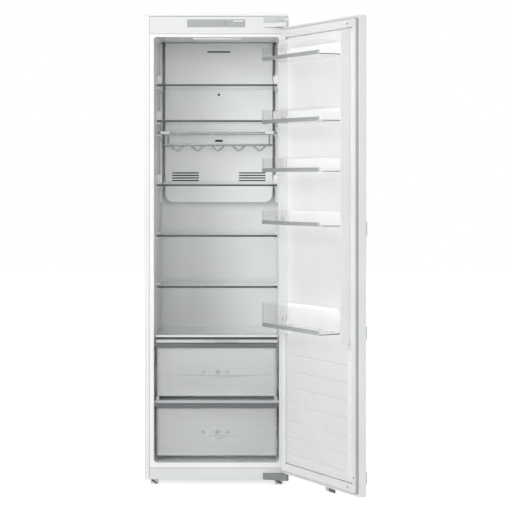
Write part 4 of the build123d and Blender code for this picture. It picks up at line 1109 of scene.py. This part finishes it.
# The floor's glow rises from one level to the other over this many metres from the origin
GLOW_NEAR, GLOW_FAR, GLOW_REACH = 0.6, 1.0, 4.0
FLOOR_REACH = 14.0


def seen_white(tree):
    """1 for the rays that show the white background: the camera's, and those in metal and glass."""
    ray = put(tree, "ShaderNodeLightPath").outputs
    seen = ray["Is Camera Ray"]
    for kind in ("Is Glossy Ray", "Is Transmission Ray"):
        seen = put(tree, "ShaderNodeMath", {0: seen, 1: ray[kind]}, operation="MAXIMUM").outputs["Value"]
    return seen


def stage():
    """A white floor, wide enough to be the backdrop too. It looks white, and keeps the object's shadow."""
    material, tree, place = blank("white_paper")
    grain = noise(tree, place, 8, 2.0)
    tone = ramp(tree, grain, (0.0, "#F4F4F4"), (1.0, "#F6F6F6"))
    paper = principled(tree, Base_Color=tone, Roughness=0.9, Specular_IOR_Level=0.1)
    away = put(tree, "ShaderNodeVectorMath", {0: place}, operation="LENGTH")
    rise = put(
        tree,
        "ShaderNodeMapRange",
        {"Value": away.outputs["Value"], "From Max": GLOW_REACH, "To Min": GLOW_NEAR, "To Max": GLOW_FAR},
    )
    glow = put(tree, "ShaderNodeEmission", {"Color": linear("#FFFFFF"), "Strength": rise.outputs["Result"]})
    both = put(tree, "ShaderNodeAddShader", {0: paper, 1: glow.outputs["Emission"]})
    seen = put(tree, "ShaderNodeMixShader", {0: seen_white(tree), 1: paper, 2: both.outputs["Shader"]})
    finish(tree, seen.outputs["Shader"])
    corners = [(x * FLOOR_REACH, y * FLOOR_REACH, 0) for x, y in ((-1, -1), (1, -1), (1, 1), (-1, 1))]
    mesh = bpy.data.meshes.new("floor")
    mesh.from_pydata(corners, [], [(0, 1, 2, 3)])
    mesh.materials.append(material)
    floor = bpy.data.objects.new("floor", mesh)
    bpy.context.scene.collection.objects.link(floor)


stage()


def world():
    """An even white room: white to the camera, and a plain level of light for everything else."""
    room = bpy.data.worlds.new("white_room")
    room.use_nodes = True
    tree = room.node_tree
    tree.nodes.clear()
    dim, white = (
        put(tree, "ShaderNodeBackground", {"Color": linear("#FFFFFF"), "Strength": level})
        for level in (WORLD_LEVEL, 1.0)
    )
    mix = put(
        tree,
        "ShaderNodeMixShader",
        {0: seen_white(tree), 1: dim.outputs["Background"], 2: white.outputs["Background"]},
    )
    put(tree, "ShaderNodeOutputWorld", {"Surface": mix.outputs["Shader"]})
    bpy.context.scene.world = room


world()


def lamp(name, place, target, size, power):
    """A soft area light aimed at a point."""
    data = bpy.data.lights.new(name, "AREA")
    data.shape, data.size, data.size_y, data.energy = "RECTANGLE", size[0], size[1], power
    made = bpy.data.objects.new(name, data)
    bpy.context.scene.collection.objects.link(made)
    made.location = place
    way = np.array(place, float) - np.array(target, float)
    made.rotation_euler = (
        math.atan2(math.hypot(way[0], way[1]), way[2]),
        0.0,
        math.atan2(way[1], way[0]) + math.pi / 2,
    )


# Each lamp's place and the point that it is aimed at, its width and height, all in metres, and its watts
for name, place, target, size, power in (
    ("key", (-2.9, -4.6, 2.9), (0.1, 0.0, 0.9), (2.2, 2.6), 98),
    ("front", (-0.2, -6.4, 2.7), (0.0, 0.0, 0.9), (2.4, 2.4), 74),
    ("right", (3.6, -4.6, 2.0), (-0.1, 0.0, 0.9), (1.8, 2.4), 26),
    ("left", (-4.4, -2.2, 3.6), (0.45, -0.2, 0.9), (1.8, 1.8), 30),
    ("back", (0.8, 5.0, 3.0), (0.0, 0.4, 0.9), (3.0, 2.6), 72),
):
    lamp(name, place, target, size, power)

# The photograph was taken from in front, a little right of the cabinet and above its middle
CAMERA_X, CAMERA_Y, CAMERA_Z = 0.1481, -6.1, 1.143
LENS_MM, SENSOR_MM = 114.5, 36.0
SHIFT_Y = -0.148

eye = bpy.data.cameras.new("camera")
eye.lens, eye.sensor_width, eye.shift_y = LENS_MM, SENSOR_MM, SHIFT_Y
camera = bpy.data.objects.new("camera", eye)
bpy.context.scene.collection.objects.link(camera)
camera.location = (CAMERA_X, CAMERA_Y, CAMERA_Z)
camera.rotation_euler = (math.pi / 2, 0, 0)
bpy.context.scene.camera = camera
bpy.context.scene.view_settings.view_transform = "Standard"
